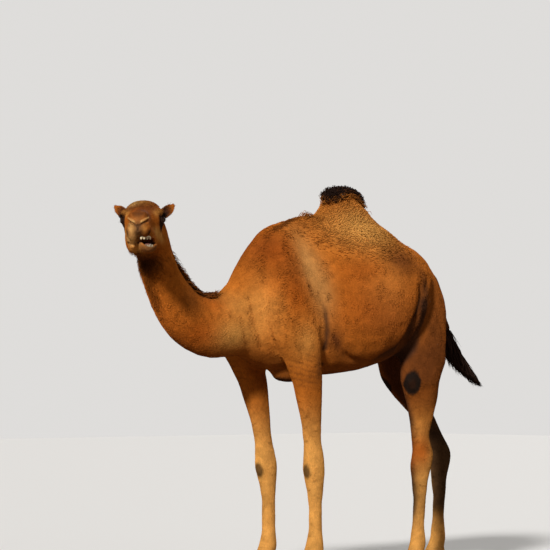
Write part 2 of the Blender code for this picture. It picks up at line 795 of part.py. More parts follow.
def material_name(name):
    for word, kind in (("eye", "eye"), ("teeth", "tooth"), ("toenail", "horn")):
        if word in name:
            return kind
    return MATERIAL_OF.get(name, "coat")


def finish(parts):
    """Gives each part its material and puts the origin under the middle of the whole."""
    made = {kind: make_material(kind, *look) for kind, look in MATERIALS.items()}
    every = np.vstack([points_of(obj) for obj in parts.values()])
    low, high = every.min(axis=0), every.max(axis=0)
    origin = np.array([(low[0] + high[0]) / 2, (low[1] + high[1]) / 2, low[2]])
    for name, obj in parts.items():
        set_points(obj, points_of(obj) - origin)
        obj.data.materials.append(made[material_name(name)])
    print("size", high - low, "origin", origin)


def main():
    clear_scene()
    body = fuse("whole_body", body_shapes(), BODY_VOXEL)
    relax(body, 30)
    thin_out(body, 3000)
    level_off(body)
    take_away(body, body_cuts())
    parts = part_out(body, BODY_PARTS)

    head = fuse("whole_head", head_shapes() + [neck()], HEAD_VOXEL)
    relax(head, 30)
    take_away(head, [half_space(NECK_TOP, -NECK_TOP_NORMAL)])
    thin_out(head, 1350)
    take_away(head, [mouth_gap(), mouth_hollow(), *head_cuts()])
    parts |= part_out(
        head,
        {
            "head": in_head(0.0, 0.06, -0.03),
            "lower_jaw": in_head(0.03, 0.19, -0.14),
            "ear_left": in_head(0.13, -0.11, 0.06),
            "ear_right": in_head(-0.13, -0.11, 0.06),
        },
    )

    for side, word in ((1, "left"), (-1, "right")):
        eye = mesh_from_bmesh("eye", ellipsoid(in_head(0.089 * side, 0.006, 0.0), [EYE_RADIUS] * 3, around=14))
        parts["eye_" + word] = add_object("eye_" + word, eye)
        take_away(parts["head"], [grown(parts["eye_" + word], GAP)])

    parts["upper_teeth"] = small_piece("upper_teeth", tooth_row(UPPER_TEETH, -0.107, -1), 0.0012, 140)
    parts["lower_teeth"] = small_piece("lower_teeth", tooth_row(LOWER_TEETH, -0.148, 1), 0.0012, 140)
    tongue = ellipsoid(in_head(0.038, 0.200, -0.140), (0.020, 0.055, 0.010), HEAD_TURN, 10)
    parts["tongue"] = add_object("tongue", mesh_from_bmesh("tongue", tongue))
    take_away(parts["head"], [grown(parts["upper_teeth"], GAP)])
    take_away(parts["lower_jaw"], [grown(parts["lower_teeth"], GAP), grown(parts["tongue"], GAP)])

    for name, (x, y, length, width) in feet().items():
        for toe, (middle, ahead) in zip(("right", "left"), toe_places(x, y, length, width)):
            nail = mesh_from_bmesh("nail", toenail(middle, ahead, length))
            nail_name = name.replace("foot", "toenail") + "_" + toe
            parts[nail_name] = add_object(nail_name, nail)
            take_away(parts[name], [grown(parts[nail_name], GAP)])

    for obj in parts.values():
        drop_chips(obj)
    finish(parts)


main()
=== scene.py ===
"""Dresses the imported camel: one skin, a coat of mesh tufts, eyes, teeth, nails and a plain studio.

Metres, +Z up. The camel faces -Y and its left side is +X. Body places are given from the point
on the floor under the hump's top, and face places (left, ahead, up) from between the eyes.
"""

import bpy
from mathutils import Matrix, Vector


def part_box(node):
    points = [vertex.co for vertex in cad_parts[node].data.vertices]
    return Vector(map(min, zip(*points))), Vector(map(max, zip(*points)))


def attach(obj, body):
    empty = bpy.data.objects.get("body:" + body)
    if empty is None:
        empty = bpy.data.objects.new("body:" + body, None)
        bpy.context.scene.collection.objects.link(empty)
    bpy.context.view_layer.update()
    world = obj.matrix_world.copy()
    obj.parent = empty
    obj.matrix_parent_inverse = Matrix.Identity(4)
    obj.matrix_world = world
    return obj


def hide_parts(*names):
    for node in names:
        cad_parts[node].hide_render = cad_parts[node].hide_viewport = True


bl_info = {
    "name": "Camel Dressing",
    "version": (1, 0, 0),
    "blender": (4, 5, 0),
    "location": "3D View > Sidebar > Camel",
    "description": "Builds the skin, the coat and the small parts of a standing camel round its solids",
    "category": "Object",
}

import math
from contextlib import contextmanager

import bpy
import numpy as np
from bpy.props import FloatProperty, FloatVectorProperty, IntProperty, PointerProperty
from mathutils import Matrix, Vector, kdtree, noise

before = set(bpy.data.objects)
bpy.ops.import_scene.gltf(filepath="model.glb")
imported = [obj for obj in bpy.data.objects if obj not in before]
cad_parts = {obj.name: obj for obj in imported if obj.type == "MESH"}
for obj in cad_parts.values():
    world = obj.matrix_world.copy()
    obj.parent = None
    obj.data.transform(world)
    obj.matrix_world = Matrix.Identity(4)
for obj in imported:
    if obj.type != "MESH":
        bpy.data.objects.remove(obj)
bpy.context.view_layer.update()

UNDER_HUMP = np.array((-0.0119, 0.3351, 0.0))
FLESH = sorted(
    name
    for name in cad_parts
    if not any(word in name for word in ("eye", "teeth", "tongue", "toenail", "tail_tuft"))
)
NAILS = sorted(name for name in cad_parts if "toenail" in name)
SIDES = (("left", 1), ("right", -1))


# ---- Places ----------------------------------------------------------------------------
def middle(node):
    low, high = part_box(node)
    return (low + high) / 2


EYE_AHEAD = 0.006  # how far the eyes lie ahead of the point from which face places are given
EYES = {word: middle("eye_" + word) for word, _ in SIDES}
HEAD_LEFT = (EYES["left"] - EYES["right"]).normalized()
HEAD_AHEAD = HEAD_LEFT.cross(Vector((0, 0, 1))).normalized()
HEAD_UP = HEAD_AHEAD.cross(HEAD_LEFT)
HEAD_AXES = np.array((HEAD_LEFT, HEAD_AHEAD, HEAD_UP))
HEAD_ORIGIN = np.array((EYES["left"] + EYES["right"]) / 2 - HEAD_AHEAD * EYE_AHEAD)
EYE_RADIUS = (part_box("eye_left")[1].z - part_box("eye_left")[0].z) / 2


def on_body(*places):
    """Body places as world points, one row each."""
    return np.array(places, float) + UNDER_HUMP


def from_head(places):
    """Face places as world points."""
    return places @ HEAD_AXES + HEAD_ORIGIN


def body_places(co):
    """World points as body places."""
    return co - UNDER_HUMP


def head_places(co):
    """World points as face places."""
    return (co - HEAD_ORIGIN) @ HEAD_AXES.T


def folded(places):
    """Places with the right side laid over the left."""
    return np.c_[np.abs(places[:, 0]), places[:, 1:]]


def ramp(value, start, end):
    """0 at start, 1 at end, smooth between them."""
    t = np.clip((value - start) / (end - start), 0.0, 1.0)
    return t * t * (3 - 2 * t)


def mix(first, second, share):
    """The first value running into the second one by the share."""
    return first * (1 - share) + second * share


def nearness(co, centre, reach):
    """1 at the centre, fading to nothing over the reach given for each axis."""
    return np.exp(-(((co - np.array(centre)) / np.array(reach)) ** 2).sum(axis=1))


def fade(away, reach):
    """1 at no distance, fading to nothing over the reach."""
    return np.exp(-((away / reach) ** 2))


def span_distance(co, a, b):
    """Share along one straight span, and distance from it, of every point."""
    t = np.clip(((co - a) @ (b - a)) / ((b - a) @ (b - a)), 0.0, 1.0)
    return t, np.linalg.norm(co - a - t[:, None] * (b - a), axis=1)


def line_distance(co, points):
    """Distance of every point from a line of straight spans, and the share along it."""
    points = np.asarray(points, float)
    best = np.full(len(co), 1e9)
    share = np.zeros(len(co))
    spans = np.linalg.norm(np.diff(points, axis=0), axis=1)
    total = spans.sum()
    run = 0.0
    for a, b, span in zip(points, points[1:], spans):
        t, away = span_distance(co, a, b)
        closer = away < best
        best = np.where(closer, away, best)
        share = np.where(closer, (run + t * span) / total, share)
        run += span
    return best, share


def on_head_share(co):
    """1 on the head and ears, 0 on the neck and body."""
    _, y, z = body_places(co).T
    _, ahead, up = head_places(co).T
    return ramp(ahead + 0.35 * (up + 0.1), -0.23, -0.14) * ramp(y, -1.2, -1.3) * ramp(z, 1.52, 1.6)


def on_tail_share(x, y):
    """1 on the tail, 0 elsewhere."""
    return ramp(y, 0.64, 0.7) * ramp(np.abs(x), 0.1, 0.06)


# ---- Mesh tools ------------------------------------------------------------------------
def deselect():
    bpy.ops.object.select_all(action="DESELECT")


def make_active(obj):
    deselect()
    obj.select_set(True)
    bpy.context.view_layer.objects.active = obj


@contextmanager
def editing(obj, mode="VERT", action="SELECT"):
    """Edit mode on one object, with all or none of it selected."""
    make_active(obj)
    bpy.ops.object.mode_set(mode="EDIT")
    bpy.ops.mesh.select_mode(type=mode)
    bpy.ops.mesh.select_all(action=action)
    yield
    bpy.ops.mesh.select_mode(type="VERT")
    bpy.ops.object.mode_set(mode="OBJECT")


def join(objects):
    """Joins the objects into the first of them."""
    make_active(objects[0])
    for obj in objects:
        obj.select_set(True)
    bpy.ops.object.join()
    return objects[0]


def read_rows(rows, name, width=3):
    """A property of all vertices, edges or faces as rows of numbers."""
    kind = np.int32 if name in ("vertices", "loops") else float
    found = np.empty(len(rows) * width, kind)
    rows.foreach_get(name, found)
    return found.reshape(-1, width)


def points_of(obj):
    return read_rows(obj.data.vertices, "co")


def set_points(obj, co):
    obj.data.vertices.foreach_set("co", co.ravel())
    obj.data.update()


def normals_of(obj):
    return read_rows(obj.data.vertex_normals, "vector")


def relax(obj, rounds, share=1.0, push=-0.52):
    """Smooths creases without shrinking the form, by a push that undoes each pull."""
    co = points_of(obj)
    a, b = read_rows(obj.data.edges, "vertices", 2).T
    degree = np.bincount(np.concatenate([a, b]), minlength=len(co))[:, None]
    for turn in range(2 * rounds):
        total = np.zeros_like(co)
        for axis in range(3):
            total[:, axis] += np.bincount(a, co[b, axis], len(co))
            total[:, axis] += np.bincount(b, co[a, axis], len(co))
        pull = 0.5 if turn % 2 == 0 else push
        co += pull * share * (total / degree - co)
    set_points(obj, co)


def apply_modifier(obj, kind, **settings):
    make_active(obj)
    bpy.ops.object.modifier_add(type=kind)
    modifier = obj.modifiers[-1]
    for name, value in settings.items():
        setattr(modifier, name, value)
    bpy.ops.object.modifier_apply(modifier=modifier.name)


def solid_copy(name, nodes):
    """The named CAD nodes, copied, welded and joined into one new object."""
    copies = []
    for node in nodes:
        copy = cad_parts[node].copy()
        copy.data = copy.data.copy()
        copy.parent = None
        copy.hide_render = copy.hide_viewport = False
        for key in list(copy.keys()):
            del copy[key]
        bpy.context.scene.collection.objects.link(copy)
        copies.append(copy)
    whole = join(copies)
    whole.name = whole.data.name = name
    whole.data.materials.clear()
    with editing(whole):
        bpy.ops.mesh.remove_doubles(threshold=1e-5)
    return whole


def keep_side(obj, place, normal, fill):
    """Cuts the object at a plane and keeps what lies on the normal's side."""
    with editing(obj):
        bpy.ops.mesh.bisect(
            plane_co=place, plane_no=normal, clear_inner=True, use_fill=fill, threshold=1e-6
        )


def refine(obj, wanted):
    """Splits each face whose middle the test picks into four."""
    make_active(obj)
    bpy.ops.object.mode_set(mode="EDIT")
    bpy.ops.mesh.select_mode(type="FACE")
    bpy.ops.mesh.select_all(action="DESELECT")
    bpy.ops.object.mode_set(mode="OBJECT")
    centres = read_rows(obj.data.polygons, "center")
    obj.data.polygons.foreach_set("select", wanted(centres))
    bpy.ops.object.mode_set(mode="EDIT")
    bpy.ops.mesh.subdivide(number_cuts=1, ngon=False)
    bpy.ops.mesh.select_mode(type="VERT")
    bpy.ops.object.mode_set(mode="OBJECT")


def uneven(co, scale, seed=0.0):
    """Soft noise between -1 and 1 at each place."""
    shift = Vector((seed, seed * 0.7, seed * 1.3))
    return np.array([noise.noise(Vector(place) * scale + shift) for place in co])


def smooth_shaded(obj):
    obj.data.polygons.foreach_set("use_smooth", np.ones(len(obj.data.polygons), bool))
    obj.data.update()


# ---- Settings --------------------------------------------------------------------------
def length_setting(name, description, default):
    return FloatProperty(name=name, description=description, default=default, unit="LENGTH")


def angle_setting(name, description, degrees):
    return FloatProperty(
        name=name, description=description, default=math.radians(degrees), subtype="ANGLE"
    )


def colour_setting(name, description, default):
    return FloatVectorProperty(
        name=name, description=description, subtype="COLOR", default=default, min=0.0, max=1.0
    )


class CamelSkinSettings(bpy.types.PropertyGroup):
    body_grain: length_setting("Body grain", "Face size of the body skin", 0.014)
    head_grain: length_setting("Head grain", "Face size of the head skin", 0.005)
    body_coat: length_setting("Body coat", "How deep the coat lies on the body", 0.009)
    leg_coat: length_setting("Leg coat", "How deep the coat lies on the legs", 0.004)
    face_coat: length_setting("Face coat", "How deep the coat lies on the face", 0.0022)


class CamelColourSettings(bpy.types.PropertyGroup):
    tan: colour_setting("Tan", "Main colour of the coat", (0.445, 0.127, 0.015))
    # Pale and cream also serve as painted light on the crown, cheek, lips and neck's base, and cream as the
    # painted highlight of the nostril rims.
    pale: colour_setting("Pale", "Sandy colour of the legs and cheeks", (0.68, 0.33, 0.078))
    cream: colour_setting("Cream", "Light hair of nostril rims and cheeks", (0.94, 0.6, 0.22))
    rust: colour_setting("Rust", "Reddish shades of the flank and shoulder", (0.34, 0.074, 0.007))
    # Brown and dark also serve as painted shade in creases, folds and hollows, under the belly and on the
    # legs.
    brown: colour_setting("Brown", "Dark brown of the throat line", (0.105, 0.03, 0.009))
    dark: colour_setting("Dark", "Blackish brown of crest, nape and tail", (0.028, 0.015, 0.011))
    olive: colour_setting("Olive", "Greyish band behind the shoulder", (0.42, 0.205, 0.06))
    callus: colour_setting("Callus", "Bare pads of knees and breast", (0.013, 0.009, 0.007))
    nose: colour_setting("Nose", "Greyish hair of the muzzle", (0.17, 0.098, 0.042))
    mouth: colour_setting("Mouth", "Moist inside of the mouth", (0.06, 0.02, 0.018))
    iris: colour_setting("Iris", "Brown of the eyes", (0.03, 0.012, 0.005))
    tooth: colour_setting("Tooth", "Worn ivory of the teeth", (0.78, 0.67, 0.46))
    tongue: colour_setting("Tongue", "Pink of the tongue", (0.2, 0.07, 0.055))
    nail: colour_setting("Nail", "Horn of the toenails", (0.045, 0.03, 0.02))


class CamelCoatSettings(bpy.types.PropertyGroup):
    trunk_hair: length_setting("Trunk hair", "Length of the tufts on the trunk", 0.019)
    leg_hair: length_setting("Leg hair", "Length of the tufts on the legs", 0.013)
    face_hair: length_setting("Face hair", "Length of the tufts on the face", 0.0075)
    seed: IntProperty(name="Seed", description="Start of the random draws", default=7)


class CamelStageSettings(bpy.types.PropertyGroup):
    azimuth: angle_setting("Azimuth", "Viewing angle round the camel from the front", 48)
    pitch: angle_setting("Pitch", "Upward tilt of the camera", 2.67)
    distance: length_setting("Distance", "Camera distance from the hump's foot point", 13.0)
    height: length_setting("Height", "Camera height over the floor", 1.0)
    aside: length_setting("Aside", "Camera shift to the left, across its view", 0.354)
    lens: FloatProperty(name="Lens", description="Focal length in millimetres", default=158.7)
    floor: colour_setting("Floor", "Colour of the floor", (0.775, 0.757, 0.732))


SETTINGS = {
    "camel_skin": CamelSkinSettings,
    "camel_colours": CamelColourSettings,
    "camel_coat": CamelCoatSettings,
    "camel_stage": CamelStageSettings,
}


# ---- Markings --------------------------------------------------------------------------
NAPE = on_body(
    (0.03, -1.335, 1.9), (0.03, -1.26, 1.8), (0.03, -1.19, 1.66), (0.02, -1.08, 1.53),
    (0.0, -0.95, 1.475), (0.0, -0.8, 1.52), (0.0, -0.68, 1.64), (0.0, -0.56, 1.76),
)
BACK_LINE = on_body(
    (0.035, -0.62, 1.72), (0.03, -0.5, 1.83), (0.01, -0.37, 1.89), (0.0, -0.28, 1.93),
    (0.0, -0.2, 1.98),
)
THROAT = on_body(
    (0.125, -1.46, 1.66), (0.11, -1.44, 1.58), (0.075, -1.38, 1.46), (0.03, -1.27, 1.3),
    (0.01, -1.12, 1.19), (0.0, -0.95, 1.14), (0.0, -0.8, 1.14),
)
# Lines that are both pressed into the skin and painted, most of them with painted shade, in body places and
# then in face places.
ARM_CREASE = ((0.24, -0.372, 1.48), (0.254, -0.356, 1.38), (0.25, -0.342, 1.3), (0.225, -0.335, 1.21))
BELLY_EDGE = ((0.262, -0.3, 1.27), (0.262, -0.25, 1.19), (0.25, -0.17, 1.145), (0.23, 0.0, 1.12))
LEFT_FOLD = ((0.343, 0.271, 1.54), (0.345, 0.185, 1.31), (0.276, 0.133, 1.2), (0.25, 0.05, 1.155))
RIGHT_FOLD = ((0.343, 0.33, 1.54), (0.345, 0.33, 1.33), (0.276, 0.3, 1.2), (0.25, 0.18, 1.15))
NOSTRIL = ((0.048, 0.272, -0.022), (0.034, 0.304, -0.035), (0.021, 0.315, -0.043))
NOSTRIL_RIM = ((0.048, 0.268, -0.012), (0.034, 0.3, -0.024), (0.02, 0.314, -0.033))
SPLIT_LIP = ((0.0, 0.316, -0.05), (0.0, 0.316, -0.08), (0.0, 0.312, -0.112))
NOSE_NOTCH = ((0.021, 0.315, -0.043), (0.004, 0.317, -0.054))
# Painted shade in the hollows before the thighs, each on the side that its sign gives.
FLANK_SHADE = (
    (((0.335, 0.3, 1.44), (0.29, 0.285, 1.32), (0.25, 0.265, 1.22), (0.205, 0.245, 1.17)), 1),
    (((0.335, 0.42, 1.44), (0.29, 0.405, 1.32), (0.25, 0.385, 1.22), (0.205, 0.365, 1.17)), -1),
)
WRINKLE_STEP = 0.026  # distance between the wrinkles of the elbows
# Spots of the trunk and upper legs on both sides: colour, share, middle and reach. Some of them are painted
# shade or painted light, as marked below.
TRUNK_SPOTS = (
    ("rust", 0.98, (0.1, -0.6, 1.72), (0.2, 0.17, 0.14)),
    ("brown", 0.3, (0.04, -0.64, 1.7), (0.1, 0.1, 0.1)),
    ("rust", 0.75, (0.25, -0.56, 1.5), (0.2, 0.11, 0.15)),
    ("rust", 0.86, (0.34, -0.04, 1.45), (0.25, 0.29, 0.2)),
    ("brown", 0.42, (0.35, 0.03, 1.34), (0.2, 0.22, 0.14)),
    ("brown", 0.34, (0.2, -0.53, 1.62), (0.12, 0.09, 0.11)),
    ("olive", 0.8, (0.22, -0.41, 1.66), (0.22, 0.065, 0.22)),
    ("olive", 0.6, (0.24, -0.36, 1.5), (0.22, 0.06, 0.16)),
    ("pale", 1.0, (0.2, 0.0, 1.86), (0.2, 0.24, 0.12)),
    ("pale", 0.25, (0.25, 0.02, 1.56), (0.2, 0.16, 0.16)),
    # Brown wool on the upper rear flank, deepened as painted shade.
    ("brown", 0.8, (0.28, 0.17, 1.68), (0.18, 0.14, 0.09)),
    ("rust", 0.8, (0.1, -1.06, 1.27), (0.1, 0.14, 0.09)),
    # Painted shadow of the head on the neck's side.
    ("brown", 0.5, (0.1, -1.13, 1.45), (0.1, 0.09, 0.08)),
    # Pale hair at the neck's base, brightened further as painted light.
    ("pale", 0.65, (0.12, -0.86, 1.26), (0.14, 0.1, 0.07)),
    # Darker hair of the rump and thigh, deepened as painted shade.
    ("brown", 0.55, (0.2, 0.56, 1.5), (0.25, 0.2, 0.28)),
    ("brown", 0.75, (0.3, 0.42, 1.3), (0.2, 0.17, 0.22)),
    # Dark wool at the hip, deepened as painted shade of the fold before the thigh.
    ("dark", 0.68, (0.32, 0.315, 1.53), (0.14, 0.045, 0.1)),
    ("rust", 0.55, (0.3, -0.12, 1.62), (0.15, 0.14, 0.07)),
    ("brown", 0.28, (0.08, -0.55, 1.77), (0.1, 0.1, 0.07)),
    ("brown", 0.28, (0.06, -0.35, 1.86), (0.1, 0.09, 0.05)),
    # Painted shade down the outer side of each foreleg.
    ("brown", 0.28, (0.225, -0.44, 0.84), (0.06, 0.06, 0.12)),
    ("brown", 0.24, (0.265, -0.49, 1.04), (0.05, 0.06, 0.06)),
    # Painted shade behind the upper arm, over the elbow.
    ("brown", 0.7, (0.28, -0.415, 1.1), (0.08, 0.035, 0.08)),
    ("pale", 0.42, (0.1, -0.83, 1.42), (0.2, 0.12, 0.07)),
    ("rust", 0.65, (0.08, -0.96, 1.43), (0.1, 0.09, 0.06)),
    ("pale", 0.38, (0.1, -0.8, 1.28), (0.2, 0.14, 0.09)),
    ("pale", 0.35, (0.16, -0.7, 1.42), (0.12, 0.07, 0.16)),
    ("pale", 0.45, (0.26, -0.52, 1.24), (0.16, 0.08, 0.09)),
    ("pale", 0.25, (0.0, -0.45, 1.25), (0.26, 0.14, 0.12)),
    # Painted shade on the belly below its bulge, behind the elbow.
    ("brown", 0.6, (0.27, -0.3, 1.24), (0.1, 0.07, 0.1)),
    # Painted shade in the wedge between the belly and the thigh.
    ("dark", 0.78, (0.27, 0.15, 1.19), (0.12, 0.12, 0.07)),
    ("dark", 0.85, (0.31, 0.21, 1.3), (0.12, 0.045, 0.11)),
    ("dark", 0.6, (0.32, 0.27, 1.43), (0.12, 0.03, 0.08)),
)
# Spots of the face in the same order, and whether both sides have them. Some are painted light or painted
# shade, as marked below.
FACE_SPOTS = (
    ("rust", 0.8, (0.0, 0.0, 0.06), (0.11, 0.26, 0.09), False),
    ("brown", 0.52, (0.0, 0.0, 0.09), (0.07, 0.16, 0.07), False),
    # Painted light on the crown's lit side.
    ("pale", 0.55, (-0.02, 0.005, 0.09), (0.07, 0.06, 0.032), False),
    ("cream", 0.4, (-0.045, 0.014, 0.08), (0.03, 0.05, 0.03), False),
    ("brown", 0.78, (0.054, 0.05, 0.05), (0.026, 0.056, 0.028), True),
    ("brown", 0.8, (0.008, 0.11, 0.05), (0.05, 0.09, 0.05), False),
    ("brown", 0.98, (0.012, 0.21, 0.03), (0.045, 0.06, 0.034), False),
    ("brown", 0.92, (0.008, 0.285, 0.008), (0.06, 0.055, 0.026), False),
    ("pale", 0.5, (0.076, 0.074, 0.022), (0.022, 0.03, 0.016), True),
    ("pale", 0.5, (0.086, 0.046, 0.034), (0.02, 0.024, 0.012), True),
    ("nose", 0.95, (0.0, 0.29, -0.07), (0.03, 0.095, 0.055), False),
    ("brown", 0.55, (0.004, 0.312, -0.068), (0.016, 0.04, 0.034), False),
    ("brown", 0.65, (0.036, 0.306, -0.047), (0.014, 0.03, 0.009), True),
    ("pale", 0.36, (0.032, 0.306, -0.066), (0.013, 0.03, 0.02), True),
    ("cream", 0.4, (-0.034, 0.3, -0.066), (0.016, 0.03, 0.03), False),
    ("dark", 0.9, (0.055, 0.278, -0.084), (0.018, 0.038, 0.022), True),
    ("pale", 0.6, (0.08, 0.05, -0.08), (0.03, 0.09, 0.034), True),
    # Pale cheek hair on one side, brightened further as painted light.
    ("pale", 0.9, (0.078, 0.11, -0.07), (0.022, 0.05, 0.022), False),
    ("pale", 0.95, (0.083, 0.04, -0.078), (0.026, 0.05, 0.018), False),
    ("pale", 0.8, (0.092, -0.022, -0.098), (0.026, 0.04, 0.022), False),
    ("nose", 0.98, (0.048, 0.262, -0.156), (0.048, 0.054, 0.022), False),
    ("brown", 0.62, (0.05, 0.246, -0.151), (0.046, 0.05, 0.018), False),
    # Painted light on the lit corner of the lips and the jaw below it.
    ("cream", 0.85, (-0.03, 0.24, -0.118), (0.03, 0.06, 0.026), False),
    ("pale", 0.9, (-0.016, 0.17, -0.158), (0.034, 0.07, 0.024), False),
    # Dark hair behind the eyes and in the ears, with painted shade in the ear cups.
    ("dark", 0.8, (0.09, -0.04, 0.006), (0.03, 0.06, 0.03), True),
    ("dark", 0.85, (0.098, -0.075, 0.03), (0.034, 0.05, 0.034), True),
    ("dark", 0.97, (0.106, -0.106, 0.046), (0.026, 0.028, 0.034), True),
    ("dark", 0.9, (0.106, -0.116, 0.04), (0.017, 0.011, 0.017), True),
    ("brown", 0.75, (0.122, -0.117, 0.056), (0.013, 0.008, 0.013), True),
    ("rust", 0.5, (0.06, -0.02, -0.15), (0.05, 0.1, 0.04), True),
)
# Lines of the face on both sides: colour, share, line and reach.
FACE_LINES = (
    # Cream rims: light hair with a painted highlight. Dark lines: painted shade in the nostrils, the lip's
    # split and the notch.
    ("cream", 0.95, NOSTRIL_RIM, 0.0055),
    ("dark", 0.97, NOSTRIL, 0.005),
    ("dark", 0.75, SPLIT_LIP, 0.005),
    ("dark", 0.8, NOSE_NOTCH, 0.005),
)
STIFLES = ((0.275, 0.27, 1.01), (-0.255, 0.56, 1.01))
CALLUSES = (
    ((0.0, -0.41, 1.025), (0.07, 0.1, 0.05)),
    ((0.18, -0.435, 0.565), (0.034, 0.04, 0.045)),
    ((0.19, -0.315, 1.1), (0.04, 0.03, 0.04)),
)


def blend(colours, colour, share):
    """Mixes one colour into the rows of colours."""
    return mix(colours, np.array(colour[:]), np.clip(share, 0.0, 1.0)[:, None])


def trunk_layers(co):
    """Reddish shoulder and flank, greyish band and pale hump, a darker rump, painted shade along the
    underline and on parts of the neck, legs and belly, and painted light at the neck's base.
    """
    even = folded(body_places(co))
    _, y, z = even.T
    for name, share, centre, reach in TRUNK_SPOTS:
        yield name, share * nearness(even, centre, reach)
    # Painted shade along the underline, under the belly.
    under = ramp(z, 1.26, 1.1) * ramp(z, 0.98, 1.06)
    yield "brown", 0.55 * under * ramp(y, -0.34, -0.22) * ramp(y, 0.52, 0.34)


def leg_layers(co):
    """Paler below, painted shade inside the legs and on the hind legs, painted shade in the wrinkles of the
    elbows, greyish at the feet.
    """
    body = body_places(co)
    even = folded(body)
    x, y, z = body.T
    side = np.abs(x)
    yield "pale", 0.85 * ramp(z, 1.0, 0.62)
    # Darker inner sides of the legs: partly bare skin and partly painted shade.
    yield "brown", 0.45 * ramp(side, 0.17, 0.09) * ramp(z, 1.3, 1.1) * ramp(z, 0.6, 0.8)
    behind = ramp(y, 0.1, 0.22)
    # Painted shade on the inner sides of the hind legs, down to the shanks.
    yield "dark", 0.9 * ramp(side, 0.235, 0.17) * ramp(z, 1.3, 1.2) * ramp(z, 0.66, 0.84) * behind
    yield "dark", 0.92 * ramp(side, 0.21, 0.14) * ramp(z, 0.86, 0.74) * ramp(z, 0.2, 0.36) * behind
    yield "rust", 0.9 * nearness(even, (0.2, 0.41, 0.66), (0.1, 0.08, 0.1))
    # Painted shade in the grooves of the elbow wrinkles.
    elbow = nearness(even, (0.26, -0.5, 1.09), (0.1, 0.12, 0.085))
    wave = np.sin(2 * np.pi * (z + 0.25 * y + 0.004 * np.sin(31 * y + 17 * x)) / WRINKLE_STEP)
    yield "brown", 0.42 * ramp(elbow, 0.1, 0.6) * ramp(wave, 0.1, 1.0)
    # Darker hair of the upper hind legs, deepened as painted shade.
    yield "brown", 0.6 * ramp(y, 0.1, 0.3) * ramp(z, 1.32, 1.18) * ramp(z, 0.78, 0.95)
    yield "nose", 0.4 * ramp(z, 0.18, 0.06)
    yield "brown", 0.75 * ramp(z, 0.03, 0.012)


def neck_layers(co):
    """Dark nape and throat, reddish underline, painted shade under the chin, and the paler front between
    them.
    """
    away, share = line_distance(co, NAPE)
    nape = fade(away, 0.045) * ramp(share, 0.68, 0.5)
    yield "brown", 0.9 * nape
    yield "dark", 0.5 * nape
    away, share = line_distance(co, THROAT)
    yield "rust", 0.3 * fade(away, 0.11) * ramp(share, 0.72, 0.5)
    yield "brown", 0.45 * fade(away, 0.032) * ramp(share, 1.0, 0.6)
    # Dark hair under the chin, deepened as painted shade.
    yield "dark", 0.9 * nearness(head_places(co), (0.01, 0.01, -0.215), (0.08, 0.13, 0.05))
    yield "tan", 0.75 * nearness(body_places(co), (0.135, -1.385, 1.53), (0.05, 0.045, 0.08))


def back_layers(co):
    """Dark crest and tail, and painted shade in the crease over the withers."""
    x, y, z = body_places(co).T
    yield "dark", crest_share(co)
    # Painted shade along the crease between the shoulder blades.
    away, _ = line_distance(co, BACK_LINE)
    yield "brown", 0.6 * fade(away, 0.014)
    tail = ramp(y, 0.66, 0.72) * ramp(np.abs(x), 0.09, 0.05) * ramp(z, 0.98, 1.0)
    tail *= ramp(y + (z - 1.4), 0.6, 0.72)
    yield "brown", 0.8 * tail
    yield "dark", tail * ramp(z, 1.42, 1.3)


def callus_and_crease_shade_layers(co):
    """Bare calluses, and painted shade in creases and folds."""
    body = body_places(co)
    even = folded(body)
    for centre, reach in CALLUSES:
        yield "callus", 0.8 * ramp(nearness(even, centre, reach), 0.25, 0.65)
    # Painted shade in the crease behind the upper arm, along the belly's lower edge, in the hollows before
    # the thighs and in the folds there.
    away, share = line_distance(even, ARM_CREASE)
    yield "dark", 0.92 * ramp(share, 0.0, 0.45) * fade(away, 0.018)
    away, _ = line_distance(even, BELLY_EDGE)
    yield "brown", 0.75 * fade(away, 0.018)
    for points, sign in FLANK_SHADE:
        away, _ = line_distance(body * (sign, 1, 1), points)
        yield "dark", 0.8 * ramp(away, 0.062, 0.022)
    for points, sign in ((LEFT_FOLD, 1), (RIGHT_FOLD, -1)):
        away, share = line_distance(body * (sign, 1, 1), points)
        yield "dark", 0.85 * fade(away, 0.012 + 0.022 * share)
    ragged = body + 0.006 * uneven(co, 40.0, 3.0)[:, None]
    for centre in STIFLES:
        near = nearness(ragged, centre, (0.06, 0.04, 0.078))
        yield "callus", 0.98 * ramp(near, 0.22, 0.42)
        yield "rust", 0.04 * ramp(near, 0.7, 0.95)


def face_layers(co):
    """Brown forehead, greyish nose, pale lips and cheek, dark round the eyes and ears, with painted light
    on the crown, cheek, lips and jaw and painted shade round the eyes, in the ears and in the nostrils.
    """
    face = head_places(co)
    even = folded(face)
    head = on_head_share(co)
    for name, share, centre, reach, both in FACE_SPOTS:
        yield name, share * head * nearness(even if both else face, centre, reach)
    # Dark hair round the eyes, deepened as painted shade under the brows.
    patch = nearness(even, (0.102, 0.008, -0.014), (0.048, 0.05, 0.05))
    yield "dark", 0.97 * head * ramp(patch, 0.15, 0.55)
    for name, share, points, reach in FACE_LINES:
        away, _ = line_distance(even, points)
        yield name, share * head * fade(away, reach)
    inside = nearness(face, (0.03, 0.2, -0.128), (0.05, 0.085, 0.016))
    yield "mouth", 0.95 * head * ramp(inside, 0.35, 0.6)


def markings(co):
    """Colour of skin and hair at each world place, laid on in layers over the tan, with painted shade and
    painted light among them.
    """
    look = bpy.context.scene.camel_colours
    colours = np.tile(np.array(look.tan[:]), (len(co), 1))
    for layers in (trunk_layers, leg_layers, neck_layers, back_layers, callus_and_crease_shade_layers, face_layers):
        for name, share in layers(co):
            colours = blend(colours, getattr(look, name), share)
    blotch = 1 + 0.16 * uneven(co, 8.0, 5.0) + 0.06 * uneven(co, 31.0, 9.0)
    return np.clip(colours * blotch[:, None], 0.0, 1.0)


